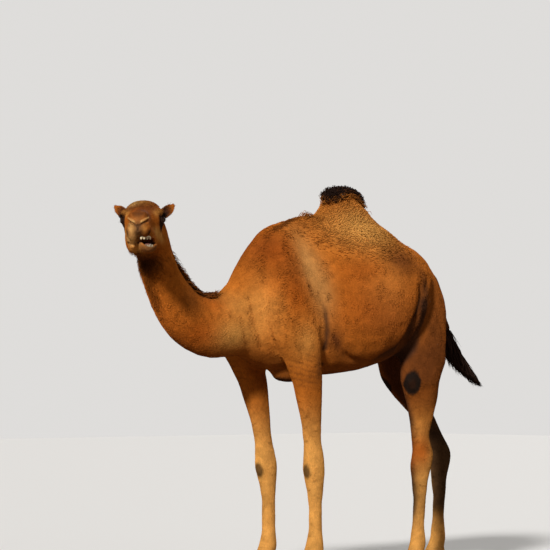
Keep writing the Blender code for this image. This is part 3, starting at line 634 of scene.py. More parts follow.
# ---- Skin ------------------------------------------------------------------------------
# The plane in which the body's skin meets the finer skin of the head.
NECK_CUT = on_body((0.061, -1.305, 1.57))[0]
NECK_CUT_NORMAL = np.array((0.16, -0.44, 0.88)) / np.linalg.norm((0.16, -0.44, 0.88))
SEAM_STEP = 0.008  # distance between the two loops that the neck's bridge joins
FUSE = 0.0008  # each node grows by this much, so that the thin cuts close
EYE_FILL = ["eye_left", "eye_right"]


def body_skin(settings):
    skin = solid_copy("skin", FLESH + EYE_FILL)
    apply_modifier(skin, "DISPLACE", strength=FUSE, mid_level=0.0)
    apply_modifier(skin, "REMESH", mode="VOXEL", voxel_size=settings.body_grain)
    relax(skin, 36)
    keep_side(skin, NECK_CUT, -NECK_CUT_NORMAL, fill=False)
    return skin


def head_skin(settings):
    skin = solid_copy("head_skin", ["neck", "head", "lower_jaw", "ear_left", "ear_right"] + EYE_FILL)
    apply_modifier(skin, "DISPLACE", strength=FUSE, mid_level=0.0)
    keep_side(skin, NECK_CUT - 0.1 * NECK_CUT_NORMAL, NECK_CUT_NORMAL, fill=True)
    apply_modifier(skin, "REMESH", mode="VOXEL", voxel_size=settings.head_grain)
    relax(skin, 18)
    keep_side(skin, NECK_CUT + SEAM_STEP * NECK_CUT_NORMAL, NECK_CUT_NORMAL, fill=False)
    return skin


def bridge(first, second):
    """Joins two open skins along their rims."""
    with editing(join((first, second)), "EDGE", "DESELECT"):
        bpy.ops.mesh.select_non_manifold()
        bpy.ops.mesh.bridge_edge_loops()
        bpy.ops.mesh.select_mode(type="VERT")
        bpy.ops.mesh.select_all(action="SELECT")
        bpy.ops.mesh.normals_make_consistent(inside=False)


def crest_share(co):
    """1 on the dark crest of the hump."""
    _, y, z = body_places(co).T
    ragged = 0.012 * uneven(co, 18.0, 8.0)
    lower = z + 0.5 * np.abs(y + 0.01) + ragged
    return ramp(lower, 2.015, 2.045) * ramp(np.abs(y), 0.3, 0.22) * ramp(z, 1.84, 1.9)


FOOT_COAT, TAIL_COAT = 0.0015, 0.006


def coat_depth(co, settings):
    """How far the skin lies under the tips of the coat."""
    body, face = body_places(co), head_places(co)
    x, y, z = body.T
    legs = ramp(z, 1.15, 0.95) * ramp(y + 1.0 - z, -1.0, -0.6)
    depth = mix(settings.body_coat, settings.leg_coat, legs)
    depth = mix(depth, FOOT_COAT, ramp(z, 0.2, 0.1))
    depth = mix(depth, TAIL_COAT, on_tail_share(x, y)) + 0.02 * crest_share(co)
    head = ramp(face[:, 1], -0.3, -0.1) * ramp(y, -1.15, -1.3) * ramp(z, 1.5, 1.62)
    return mix(depth, settings.face_coat, head)


# Body hollows and swells: a line of places, how far to each side it reaches, how deep it
# goes (a swell is minus), and the side it lies on (0 is both).
BODY_RELIEF = (
    (ARM_CREASE, 0.02, 0.02, 0),
    (((0.235, -0.46, 1.52), (0.25, -0.416, 1.41), (0.26, -0.405, 1.33)), 0.032, -0.01, 0),
    (BELLY_EDGE, 0.02, 0.014, 0),
    (LEFT_FOLD, 0.026, 0.02, 1),
    (((0.335, 0.215, 1.36), (0.291, 0.19, 1.25), (0.262, 0.195, 1.16)), 0.028, 0.026, 1),
    (RIGHT_FOLD, 0.026, 0.017, -1),
    (((0.3, 0.11, 1.68), (0.33, 0.2, 1.62)), 0.06, 0.012, 0),
    (((0.297, 0.364, 1.58), (0.351, 0.27, 1.49)), 0.022, 0.01, 0),
    (((0.29, 0.43, 1.52), (0.3, 0.52, 1.3), (0.27, 0.56, 1.18)), 0.035, 0.009, 0),
    (((0.23, -0.576, 1.145), (0.286, -0.541, 1.165), (0.284, -0.448, 1.145)), 0.01, 0.0085, 0),
    (((0.215, -0.566, 1.115), (0.279, -0.535, 1.136), (0.28, -0.437, 1.11)), 0.009, 0.007, 0),
    (((0.206, -0.551, 1.088), (0.272, -0.528, 1.108), (0.276, -0.434, 1.078)), 0.009, 0.0055, 0),
    (((0.222, -0.571, 1.13), (0.283, -0.538, 1.15), (0.282, -0.443, 1.128)), 0.009, -0.0055, 0),
    (((0.134, -0.745, 1.41), (0.14, -0.725, 1.32), (0.122, -0.675, 1.21)), 0.018, 0.008, 0),
    (((0.12, -0.81, 1.36), (0.12, -0.79, 1.28), (0.105, -0.75, 1.22)), 0.018, 0.005, 0),
    (((0.124, -0.78, 1.44), (0.1, -0.9, 1.39), (0.098, -1.01, 1.37)), 0.022, -0.006, 0),
    (((0.11, -1.06, 1.3), (0.11, -1.14, 1.34), (0.12, -1.22, 1.42)), 0.02, 0.005, 1),
    (((0.13, -0.6, 1.64), (0.2, -0.61, 1.5), (0.215, -0.62, 1.38)), 0.03, -0.006, 0),
    (((0.165, -0.41, 0.74), (0.175, -0.405, 0.62)), 0.012, 0.004, 0),
)


def relief(co):
    """How far the body skin is pressed in at each place."""
    body = body_places(co)
    depth = np.zeros(len(co))
    for points, reach, deep, sign in BODY_RELIEF:
        away, _ = line_distance(body * (sign, 1, 1) if sign else folded(body), points)
        depth += deep * fade(away, reach)
    trunk = ramp(body[:, 2], 1.0, 1.2) * (1 - on_head_share(co))
    depth += 0.003 * uneven(co, 6.0) * trunk + 0.0008 * uneven(co, 19.0, 3.0)
    return depth * (1 - 0.85 * on_head_share(co))


# Face lines in face places: points, reach and depth as above, the same on both sides or not.
FACE_RELIEF = (
    (NOSTRIL, 0.0045, 0.012, True),
    (NOSTRIL_RIM, 0.0055, -0.0055, True),
    (((0.046, 0.278, -0.04), (0.03, 0.308, -0.052)), 0.0085, -0.0035, True),
    (SPLIT_LIP, 0.0036, 0.005, True),
    (NOSE_NOTCH, 0.0045, 0.003, True),
    (((0.062, 0.175, -0.05), (0.07, 0.145, -0.07), (0.074, 0.12, -0.098)), 0.007, 0.0035, True),
    (((0.074, 0.12, -0.112), (0.08, 0.085, -0.108), (0.084, 0.06, -0.12)), 0.006, 0.0035, True),
    (((0.066, 0.075, -0.012), (0.06, 0.11, -0.02)), 0.007, 0.004, True),
    (((0.082, 0.052, -0.032), (0.086, 0.03, -0.042), (0.092, 0.0, -0.04)), 0.005, 0.0025, True),
    (((-0.03, 0.285, -0.128), (-0.05, 0.25, -0.132), (-0.062, 0.2, -0.128)), 0.005, 0.005, False),
    (((0.03, 0.3, -0.062), (0.046, 0.272, -0.068)), 0.012, -0.004, True),
)
EYE_LOOK = (0.88, 0.46, 0.05)
EYE_ALONG = (-0.45, 0.86, -0.16)
EYE_WIDE, EYE_HIGH = 0.016, 0.0112
LID_RIM = 0.0026  # height of the lids' rim over the eyeball
LID_DEPTH = 0.004  # depth under the eyeball's surface to which the skin between the lids goes


def eye_frame(sign):
    """Middle of an eye and its outward, forward and upward axes, in face places."""
    look = np.array(EYE_LOOK) * (sign, 1, 1)
    look = look / np.linalg.norm(look)
    along = np.array(EYE_ALONG) * (sign, 1, 1)
    along = along - look * (along @ look)
    along = along / np.linalg.norm(along)
    upward = np.cross(look, along)
    upward = upward * np.sign(upward[2])
    centre = head_places(np.array(EYES["left" if sign > 0 else "right"])[None])[0]
    return centre, look, along, upward


def shape_lids(face):
    """Lays two lids over each eye and opens the skin between them."""
    for _, sign in SIDES:
        centre, look, along, upward = eye_frame(sign)
        away = face - centre
        far = np.linalg.norm(away, axis=1)
        toward = away / np.maximum(far, 1e-9)[:, None]
        across, height = EYE_RADIUS * (toward @ along), EYE_RADIUS * (toward @ upward)
        droop = height + 0.1 * EYE_HIGH * (across / EYE_WIDE) ** 2
        ring = np.sqrt((across / EYE_WIDE) ** 2 + (droop / EYE_HIGH) ** 2)
        heavy = ramp(height, 0.0, 0.006)
        rim = EYE_RADIUS + LID_RIM + 0.0012 * heavy
        folds = 0.0007 * np.cos((ring - 1.12) * 2 * np.pi / 0.3)
        folds = folds * ramp(ring, 1.1, 1.2) * ramp(ring, 2.2, 1.6)
        slit = EYE_RADIUS - LID_DEPTH + (LID_RIM + LID_DEPTH) * ramp(ring, 0.9, 1.0)
        target = np.where(ring < 1.0, slit, rim)
        target = target + folds - 0.0022 * heavy * fade(ring - 1.62, 0.16)
        share = ramp(ring, 2.15, 1.3) * ramp(toward @ look, 0.1, 0.35) * ramp(far, 0.05, 0.036)
        face = centre + toward * mix(far, target, share)[:, None]
    return face


def near_eyes(face, reach):
    """Whether each face place lies near one of the eyes."""
    return np.any([np.linalg.norm(face - eye_frame(sign)[0], axis=1) < reach for _, sign in SIDES], axis=0)


def fine_face(centres):
    """Where the face needs smaller faces: muzzle and lids."""
    face = head_places(centres)
    _, ahead, up = face.T
    return near_eyes(face, 0.043) | ((ahead > 0.2) & (ahead < 0.4) & (up < 0.01) & (up > -0.18))


def finest_face(centres):
    """Where it needs the smallest ones: lids and nostrils."""
    face = head_places(centres)
    away, _ = line_distance(folded(face), NOSTRIL)
    return near_eyes(face, 0.036) | (away < 0.01)


def shape_face(skin):
    """Splits the faces of the small features and presses the features into them."""
    refine(skin, fine_face)
    co = points_of(skin)
    face = head_places(co)
    near = ramp(face[:, 1], 0.12, 0.16) * ramp(np.abs(face[:, 2]), 0.25, 0.22) * on_head_share(co)
    relax(skin, 3, near[:, None])
    refine(skin, finest_face)
    co = points_of(skin)
    normal = normals_of(skin)
    face = head_places(co)
    head = on_head_share(co)
    for points, reach, deep, both in FACE_RELIEF:
        away, _ = line_distance(folded(face) if both else face, points)
        co -= normal * (head * deep * fade(away, reach))[:, None]
    set_points(skin, from_head(shape_lids(head_places(co))))


def build_skin(settings):
    skin = body_skin(settings)
    body = body_places(points_of(skin))
    shoulder = nearness(folded(body), (0.22, -0.5, 1.66), (0.32, 0.3, 0.23))
    relax(skin, 80, ramp(shoulder, 0.25, 0.6)[:, None], push=-0.49)
    toes = ramp(body[:, 2], 0.05, 0.028)
    relax(skin, 30, toes[:, None], push=-0.46)
    bridge(skin, head_skin(settings))
    co = points_of(skin)
    co -= normals_of(skin) * (coat_depth(co, settings) + relief(co))[:, None]
    co[:, 2] = np.maximum(co[:, 2], 0.0006)
    set_points(skin, co)
    shape_face(skin)
    smooth_shaded(skin)
    return skin


def unwrap(skin):
    """Lays the skin out flat, in islands of its own shape."""
    with editing(skin):
        bpy.ops.uv.smart_project(angle_limit=math.radians(66), island_margin=0.001)


# ---- Materials -------------------------------------------------------------------------
def new_material(name, roughness=0.5):
    material = bpy.data.materials.new(name)
    material.use_nodes = True
    shader = material.node_tree.nodes["Principled BSDF"]
    shader.inputs["Roughness"].default_value = roughness
    return material, material.node_tree, shader


def feed(tree, socket, value):
    """Links another socket to this one, or sets its value."""
    if isinstance(value, bpy.types.NodeSocket):
        tree.links.new(value, socket)
    else:
        socket.default_value = value


def add(tree, kind, **values):
    """A new node, with the given sockets set or linked."""
    node = tree.nodes.new("ShaderNode" + kind)
    for name, value in values.items():
        feed(tree, node.inputs[name.replace("_", " ")], value)
    return node


def compute(tree, operation, *values):
    """The output of a new math node."""
    node = tree.nodes.new("ShaderNodeMath")
    node.operation = operation
    for socket, value in zip(node.inputs, values):
        feed(tree, socket, value)
    return node.outputs[0]


def wool_group():
    """Fine strands and clumps: varies a colour and gives the bump that goes with it."""
    name = "wool grain"
    if name in bpy.data.node_groups:
        return bpy.data.node_groups[name]
    group = bpy.data.node_groups.new(name, "ShaderNodeTree")
    face = group.interface
    face.new_socket("Colour", in_out="INPUT", socket_type="NodeSocketColor")
    for label in ("Scale", "Contrast", "Depth"):
        face.new_socket(label, in_out="INPUT", socket_type="NodeSocketFloat")
    for label, kind in (("Colour", "Color"), ("Roughness", "Float"), ("Normal", "Vector")):
        face.new_socket(label, in_out="OUTPUT", socket_type="NodeSocket" + kind)
    given = group.nodes.new("NodeGroupInput").outputs
    result = group.nodes.new("NodeGroupOutput").inputs
    place = group.nodes.new("ShaderNodeTexCoord").outputs["Object"]
    drawn_out = add(group, "Mapping", Vector=place, Rotation=(0.6, 0.0, 0.0), Scale=(1.0, 1.0, 0.22))
    strands = add(
        group, "TexNoise", Vector=drawn_out.outputs[0], Scale=given["Scale"], Detail=4.0, Roughness=0.65
    )
    clumps = add(
        group, "TexNoise", Vector=place, Scale=24.0, Detail=3.0, Roughness=0.55, Distortion=0.6
    )
    both = compute(group, "MULTIPLY_ADD", strands.outputs[0], 0.6, clumps.outputs[0])
    level = add(group, "MapRange", Value=both, From_Min=0.55, From_Max=1.05, To_Min=-1.0)
    gain = compute(group, "ADD", compute(group, "MULTIPLY", level.outputs[0], given["Contrast"]), 1.0)
    tinted = group.nodes.new("ShaderNodeVectorMath")
    tinted.operation = "SCALE"
    group.links.new(given["Colour"], tinted.inputs[0])
    group.links.new(gain, tinted.inputs["Scale"])
    rough = add(group, "MapRange", Value=both, To_Min=0.92, To_Max=0.72)
    bump = add(group, "Bump", Strength=given["Depth"], Distance=0.004, Height=both)
    for label, node in (("Colour", tinted), ("Roughness", rough), ("Normal", bump)):
        group.links.new(node.outputs[0], result[label])
    return group


def painted_colour(tree):
    """The colour painted on the mesh's points."""
    attribute = tree.nodes.new("ShaderNodeAttribute")
    attribute.attribute_name = "coat_colour"
    return attribute.outputs["Color"]


# Name, scale, contrast and depth of the two kinds of wool.
HIDE = ("camel_hide", 150.0, 0.22, 0.55)
HAIR = ("camel_hair", 260.0, 0.16, 0.1)
WOOL_SHEEN = 0.006


def wool_material(name, scale, contrast, depth):
    """Hair or hide whose colour comes from the markings painted on the mesh."""
    if name in bpy.data.materials:
        return bpy.data.materials[name]
    material, tree, shader = new_material(name)
    wool = tree.nodes.new("ShaderNodeGroup")
    wool.node_tree = wool_group()
    for socket, value in zip(wool.inputs, (painted_colour(tree), scale, contrast, depth)):
        feed(tree, socket, value)
    for source, target in (("Colour", "Base Color"), ("Roughness", "Roughness"), ("Normal", "Normal")):
        tree.links.new(wool.outputs[source], shader.inputs[target])
    shader.inputs["Specular IOR Level"].default_value = WOOL_SHEEN
    return material


def grain_material(name, first, second, scale, roughness, depth):
    """A smooth material that runs between two colours in a soft grain."""
    material, tree, shader = new_material(name, roughness)
    place = tree.nodes.new("ShaderNodeTexCoord").outputs["Object"]
    noise_node = add(tree, "TexNoise", Vector=place, Scale=scale, Detail=5.0, Roughness=0.6)
    mixed = tree.nodes.new("ShaderNodeMix")
    mixed.data_type = "RGBA"
    tree.links.new(noise_node.outputs[0], mixed.inputs["Factor"])
    for socket in mixed.inputs:
        if socket.type == "RGBA":
            colour = first if socket.identifier.startswith("A") else second
            socket.default_value = (*colour, 1.0)
    colour_out = next(socket for socket in mixed.outputs if socket.type == "RGBA")
    tree.links.new(colour_out, shader.inputs["Base Color"])
    bump = add(tree, "Bump", Strength=0.5, Distance=depth, Height=noise_node.outputs[0])
    tree.links.new(bump.outputs[0], shader.inputs["Normal"])
    return material


def paint(obj, colours):
    attribute = obj.data.attributes.new("coat_colour", "FLOAT_COLOR", "POINT")
    attribute.data.foreach_set("color", np.c_[colours, np.ones(len(colours))].ravel())


# ---- Coat ------------------------------------------------------------------------------
LONG_HAIR_DRAWS, LASH_DRAWS, TAIL_DRAWS = 100, 200, 300  # added to the seed
PATCH = 0.003  # width of a tuft's patch on the skin's unwrap
NECK_LINE = on_body(
    (0.07, -1.34, 1.66), (0.04, -1.22, 1.44), (0.01, -1.08, 1.34), (0.0, -0.9, 1.32),
    (0.0, -0.68, 1.4), (0.0, -0.4, 1.5),
)
EAR_BASE, EAR_TIP = (0.084, -0.1, 0.022), (0.153, -0.118, 0.083)


def along_line(co, points):
    """Direction of the nearest spans of a line, for every point."""
    points = np.asarray(points, float)
    way = np.zeros((len(co), 3))
    for a, b in zip(points, points[1:]):
        _, away = span_distance(co, a, b)
        way += np.exp(-48.0 * away)[:, None] * (b - a) / np.linalg.norm(b - a)
    return way / np.maximum(np.linalg.norm(way, axis=1), 1e-12)[:, None]


def unit(rows):
    return rows / np.maximum(np.linalg.norm(rows, axis=1), 1e-9)[:, None]


def lie_of_coat(co, normal):
    """Way that the hair points at each place of the skin."""
    x, y, z = body_places(co).T
    left, ahead, up = head_places(co).T
    rise = mix(-0.45, 0.25, ramp(up, -0.02, 0.05))[:, None]
    ways = [
        (np.c_[x * 3.0, y * 1.2 + 0.3, np.full(len(co), -0.75)], 0.8 * ramp(z, 1.8, 1.92)),
        (np.array((0.0, 0.08, -1.0)), ramp(z, 1.22, 0.92) * ramp(np.abs(x), 0.06, 0.12)),
        (np.array((0.0, 0.35, -0.94)), ramp(y, 0.62, 0.7) * ramp(np.abs(x), 0.1, 0.06)),
        (along_line(co, NECK_LINE), ramp(y, -0.4, -0.78) * ramp(z, 0.9, 1.1)),
        (rise * HEAD_AXES[2] - HEAD_AXES[1], on_head_share(co)),
    ]
    for _, sign in SIDES:
        ear_way = (np.array(EAR_TIP) - EAR_BASE) * (sign, 1, 1) @ HEAD_AXES
        ear = ramp(left * sign, 0.092, 0.104) * ramp(ahead, -0.075, -0.09) * ramp(up, 0.015, 0.035)
        ways.append((unit(ear_way[None]), ear))
    way = np.array((0.0, 0.82, -0.57))
    for other, share in ways:
        way = mix(way, other, share[:, None])
    way -= normal * (way * normal).sum(axis=1)[:, None]
    return unit(way)


class Scalp:
    """The skin's triangles, normals and unwrap, from which tufts are rooted."""

    def __init__(self, skin):
        mesh = skin.data
        mesh.calc_loop_triangles()
        self.corners = read_rows(mesh.loop_triangles, "vertices")
        uv = read_rows(mesh.uv_layers.active.uv, "vector", 2)
        self.uv = uv[read_rows(mesh.loop_triangles, "loops")]
        self.co = points_of(skin)
        self.normal = normals_of(skin)
        a, b, c = (self.co[self.corners[:, i]] for i in range(3))
        self.area = np.linalg.norm(np.cross(b - a, c - a), axis=1) / 2
        self.centre = (a + b + c) / 3

    def roots(self, chance, count, rng):
        """Places spread evenly by the chance given for each triangle."""
        weight = np.cumsum(self.area * chance)
        spots = (np.arange(count) + rng.random(count)) / count * weight[-1]
        chosen = np.minimum(np.searchsorted(weight, spots), len(weight) - 1)
        u, v = rng.random(count), rng.random(count)
        flip = u + v > 1
        u, v = np.where(flip, 1 - u, u), np.where(flip, 1 - v, v)
        shares = np.stack([1 - u - v, u, v], axis=1)[:, :, None]
        corners = self.corners[chosen]
        root = (self.co[corners] * shares).sum(axis=1)
        normal = unit((self.normal[corners] * shares).sum(axis=1))
        return root, normal, (self.uv[chosen] * shares).sum(axis=1)

    def uv_near(self, places):
        """Unwrap place of the triangle nearest to each place."""
        tree = kdtree.KDTree(len(self.centre))
        for index, centre in enumerate(self.centre):
            tree.insert(centre, index)
        tree.balance()
        return self.uv[[tree.find(place)[1] for place in places]].mean(axis=1)


AROUND = ((0, 1), (1, 2), (2, 0))  # pairs of corners round a tuft
TUFT_HEIGHT = 0.9  # height of a tuft's back, to half its width
TIP_TONE, TONE_SPREAD = 1.06, 0.13  # lighter tips, and how much tufts differ from each other


def tuft_faces(rings):
    """Corners of one tuft's faces: its root, its sides and its pointed tip."""
    last = 3 * (rings - 1)
    faces = [(0, 2, 1)]
    for low in range(0, last, 3):
        faces += [(low + i, low + j, low + j + 3, low + i + 3) for i, j in AROUND]
    return faces + [(last + i, last + j, last + 3) for i, j in AROUND]


def tufts(name, root, normal, way, uv, length, width, colours, rng, rise=0.35, droop=0.28,
          rings=1, curl=0.0, turns=0.0, fall=0.0, sink=0.15, root_shade=0.72):
    """One mesh of closed three-sided tufts, each bent from its root to a fine tip."""
    count = len(root)
    across = unit(np.cross(normal, way))
    phase = rng.random(count) * 2 * np.pi
    spine = []
    for t in np.arange(rings + 1) / rings:
        swirl = (phase + turns * 2 * np.pi * t)[:, None]
        lift = length * (rise * t - droop * t * t) - width * sink * (1 - t)
        place = root + way * (length * t)[:, None] + normal * lift[:, None]
        if rings > 1:
            sway = across * np.cos(swirl) + normal * (0.6 * np.sin(swirl) + 0.6)
            place += sway * (curl * min(1.0, 1.6 * t) * length)[:, None]
        place[:, 2] -= fall * length * t * t
        spine.append(place)
    verts, uvs, shade = [], [], []
    for k in range(rings):
        t = k / rings
        wide = (width * 0.5 * (1 - t) ** 0.6)[:, None]
        back = normal * wide * TUFT_HEIGHT
        for offset, u in ((-across * wide, 0.0), (across * wide, 1.0), (back, 0.5)):
            verts.append(spine[k] + offset)
            uvs.append(uv + PATCH * (np.array((u, t)) - 0.5))
            # Painted shade towards the root and painted light on the tuft's back ridge.
            light = min(1.0, 1.4 * t + 0.25 * (u == 0.5))
            shade.append(root_shade + (1 - root_shade) * light)
    verts.append(spine[-1])
    uvs.append(uv + PATCH * (np.array((0.5, 1.0)) - 0.5))
    shade.append(TIP_TONE)
    per = len(verts)
    co = np.stack(verts, axis=1).reshape(-1, 3)
    point_uv = np.stack(uvs, axis=1).reshape(-1, 2)
    faces = tuft_faces(rings)
    loops = (np.arange(count)[:, None] * per + np.concatenate(faces)).ravel()
    totals = np.tile([len(face) for face in faces], count)
    mesh = bpy.data.meshes.new(name)
    mesh.vertices.add(len(co))
    mesh.vertices.foreach_set("co", co.ravel())
    mesh.loops.add(len(loops))
    mesh.loops.foreach_set("vertex_index", loops)
    mesh.polygons.add(len(totals))
    mesh.polygons.foreach_set("loop_start", np.concatenate([[0], np.cumsum(totals)[:-1]]))
    mesh.polygons.foreach_set("loop_total", totals)
    mesh.uv_layers.new(name="OFBake")
    mesh.uv_layers["OFBake"].uv.foreach_set("vector", point_uv[loops].ravel())
    obj = bpy.data.objects.new(name, mesh)
    bpy.context.scene.collection.objects.link(obj)
    smooth_shaded(obj)
    vary = 1 + TONE_SPREAD * rng.standard_normal(count).clip(-2, 2)
    look = np.repeat(colours * vary[:, None], per, axis=0) * np.tile(shade, count)[:, None]
    paint(obj, np.clip(look, 0.0, 1.0))
    obj.data.materials.append(wool_material(*HAIR))
    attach(obj, "root")
    return obj


def jitter(way, normal, amount, rng):
    """Turns each direction a little within the skin's plane."""
    angle = amount * rng.standard_normal(len(way))
    across = np.cross(normal, way)
    return unit(way * np.cos(angle)[:, None] + across * np.sin(angle)[:, None])


def region_shares(co):
    """Which places belong to each piece of the short coat."""
    x, y, z = body_places(co).T
    head = on_head_share(co) > 0.5
    neck = ~head & (y < -0.55) & (z > 1.08 + 0.1 * (y + 1.0))
    low = ~head & ~neck & (z < 1.06)
    trunk = ~head & ~neck & ~low
    return {
        "coat_head": head,
        "coat_neck": neck,
        "coat_trunk_left": trunk & (x >= 0),
        "coat_trunk_right": trunk & (x < 0),
        "coat_fore_legs": low & (y < 0.02),
        "coat_hind_legs": low & (y >= 0.02),
    }


HAIR_TURN, LONG_HAIR_TURN = 0.17, 0.45  # how far tufts turn out of the coat's lie, in radians
HAIR_WIDTH = 0.21  # of a short tuft, to its length
PIECE_LIMIT = 48000  # short tufts in one piece, at four triangles each
BODY_TUFTS, FACE_TUFTS = 33000, 150000  # to the square metre


def hair_length(co):
    """Length of the short coat at each place: long on the back, close on face and feet."""
    coat = bpy.context.scene.camel_coat
    x, y, z = body_places(co).T
    ahead = head_places(co)[:, 1]
    length = coat.trunk_hair * (1 - 0.3 * ramp(z, 1.35, 1.12))
    length = length * (1 + 0.15 * ramp(z, 1.7, 1.9))
    length = mix(length, coat.leg_hair, ramp(z, 1.16, 0.72))
    length = length * (1 - 0.45 * ramp(z, 0.34, 0.08))
    length = mix(length, coat.leg_hair * 1.2, on_tail_share(x, y))
    return mix(length, coat.face_hair * (1 - 0.35 * ramp(ahead, 0.1, 0.22)), on_head_share(co))


def hair_density(co):
    """Tufts to the square metre at each place."""
    _, y, z = body_places(co).T
    dense = BODY_TUFTS + 30000 * ramp(z, 1.16, 0.72) + 22000 * ramp(z, 0.34, 0.08)
    neck = ramp(y, -0.6, -1.0) * ramp(z, 1.05, 1.15)
    return mix(dense * (1 + 0.25 * neck), FACE_TUFTS, on_head_share(co))


STIFLE_REACH = (0.055, 0.034, 0.07)
# Bare pads on both sides: middle and reach.
BARE_PADS = (
    ((0.0, -0.385, 1.02), (0.05, 0.08, 0.045)),
    CALLUSES[1],
    (STIFLES[0], STIFLE_REACH),
)


def bare(co):
    """1 where the skin shows bare: calluses, lips, nostrils, soles and the eyes."""
    body, face = body_places(co), head_places(co)
    shown = [ramp(nearness(folded(body), *pad), 0.3, 0.55) for pad in BARE_PADS]
    shown.append(ramp(nearness(body, STIFLES[1], STIFLE_REACH), 0.3, 0.55))
    shown.append(ramp(body[:, 2], 0.03, 0.015))
    for nail in NAILS:
        shown.append(ramp(np.linalg.norm(co - np.array(middle(nail)), axis=1), 0.03, 0.022))
    eye = nearness(folded(face), (0.095, 0.006, 0.0), (0.03, 0.026, 0.022))
    shown.append(ramp(eye, 0.35, 0.55))
    mouth = nearness(face, (0.035, 0.25, -0.125), (0.06, 0.08, 0.026))
    shown.append(ramp(mouth, 0.35, 0.6))
    away, _ = line_distance(folded(face), NOSTRIL)
    shown.append(ramp(away, 0.009, 0.005))
    return np.max(shown, axis=0)


# Chance of a long hair's root at each place, for each kind of hair.
def curl_share(co):
    wool = nearness(folded(body_places(co)), (0.15, 0.0, 1.87), (0.26, 0.3, 0.15))
    patchy = 0.6 + 0.4 * uneven(co, 14.0, 2.0)
    return ramp(wool * patchy, 0.03, 0.6) * (1 - crest_share(co))


def line_share(co, line, reach, end):
    away, share = line_distance(co, line)
    patchy = 0.35 + ramp(uneven(co, 16.0, 4.0), -0.2, 0.3)
    return fade(away, reach) * patchy * ramp(share, end + 0.08, end - 0.04)


def nape_share(co):
    return line_share(co, NAPE, 0.022, 0.54)


def ridge_share(co):
    return line_share(co, BACK_LINE, 0.01, 1.0)


def throat_share(co):
    beard = nearness(head_places(co), (0.01, -0.01, -0.22), (0.055, 0.11, 0.055))
    away, share = line_distance(co, THROAT)
    return np.maximum(beard, 0.45 * fade(away, 0.03) * ramp(share, 0.4, 0.2))


def poll_share(co):
    crown = nearness(head_places(co), (0.0, -0.03, 0.095), (0.085, 0.12, 0.055))
    return ramp(crown, 0.05, 0.95) * (0.3 + ramp(uneven(co, 45.0, 12.0), -0.5, 0.4))


def ear_share(co):
    left, ahead, up = head_places(co).T
    return ramp(np.abs(left), 0.088, 0.1) * ramp(ahead, -0.07, -0.085) * ramp(up, 0.01, 0.03)


def brow_share(co):
    return nearness(folded(head_places(co)), (0.085, 0.004, 0.03), (0.02, 0.032, 0.01))


# Long hair: tufts, length, width to length, rise, droop, curl, turns, fall, rings, tone over
# the markings, and the chance of a root at each place.
LONG_HAIR = {
    "crest_locks": (3600, 0.05, 0.13, 0.85, 0.45, 0.22, 1.1, 0.25, 3, 0.85, crest_share),
    "hump_curls": (17000, 0.019, 0.24, 0.45, 0.35, 0.2, 0.9, 0.1, 2, 1.05, curl_share),
    "nape_fringe": (2600, 0.04, 0.12, 0.85, 0.3, 0.16, 0.6, 0.2, 3, 0.85, nape_share),
    "throat_beard": (1900, 0.019, 0.12, 0.4, 0.2, 0.12, 0.5, 0.3, 3, 0.85, throat_share),
    "back_ridge": (420, 0.022, 0.13, 0.45, 0.35, 0.16, 0.7, 0.15, 3, 0.85, ridge_share),
    "poll_wool": (3000, 0.0095, 0.22, 0.4, 0.3, 0.18, 0.7, 0.0, 2, 0.85, poll_share),
    "ear_hair": (1800, 0.013, 0.13, 0.45, 0.2, 0.06, 0.4, 0.0, 3, 0.85, ear_share),
    "brow_hair": (1100, 0.014, 0.12, 0.55, 0.3, 0.06, 0.4, 0.1, 3, 0.85, brow_share),
}
# Lashes of one lid: how many, whether it is the upper lid, and their length.
LASHES = ((46, True, 0.021), (22, False, 0.01))


def lash_roots(sign, count, upper, rng):
    """Places along a lid's rim and the way each lash leaves it."""
    centre, look, along, upward = eye_frame(sign)
    turn = np.linspace(0.1, 0.9, count) * np.pi + 0.02 * rng.standard_normal(count)
    across = EYE_WIDE * np.cos(turn)
    height = EYE_HIGH * np.sin(turn) * (1 if upper else -1)
    flat = across[:, None] * along + height[:, None] * upward
    outward = np.sqrt(np.maximum(1 - (flat**2).sum(1) / EYE_RADIUS**2, 0.05))
    toward = unit(flat / EYE_RADIUS + look * outward[:, None])
    root = centre + toward * (EYE_RADIUS + LID_RIM)
    lift = upward * (0.55 if upper else -0.35)
    way = unit(toward + lift + 0.25 * across[:, None] / EYE_WIDE * along)
    return from_head(root), way @ HEAD_AXES


class OBJECT_OT_camel_coat(bpy.types.Operator):
    """Grows the short coat over the skin, in one piece for each region"""

    bl_idname = "object.camel_coat"
    bl_label = "Camel Coat"

    def execute(self, context):
        coat = context.scene.camel_coat
        scalp = Scalp(bpy.data.objects["skin"])
        regions = region_shares(scalp.centre)
        chance = hair_density(scalp.centre) * (1.0 - bare(scalp.centre))
        for index, (name, region) in enumerate(regions.items()):
            rng = np.random.default_rng(coat.seed + index)
            wanted = int((scalp.area * chance * region).sum())
            count = min(wanted, PIECE_LIMIT)
            root, normal, uv = scalp.roots(chance * region, count, rng)
            way = jitter(lie_of_coat(root, normal), normal, HAIR_TURN, rng)
            length = hair_length(root) * rng.uniform(0.65, 1.3, count)
            width = length * HAIR_WIDTH * rng.uniform(0.8, 1.2, count)
            rise = 0.25 + 0.07 * uneven(root, 22.0, 6.0)
            tufts(name, root, normal, way, uv, length, width, markings(root), rng, rise, root_shade=0.86)
        return {"FINISHED"}


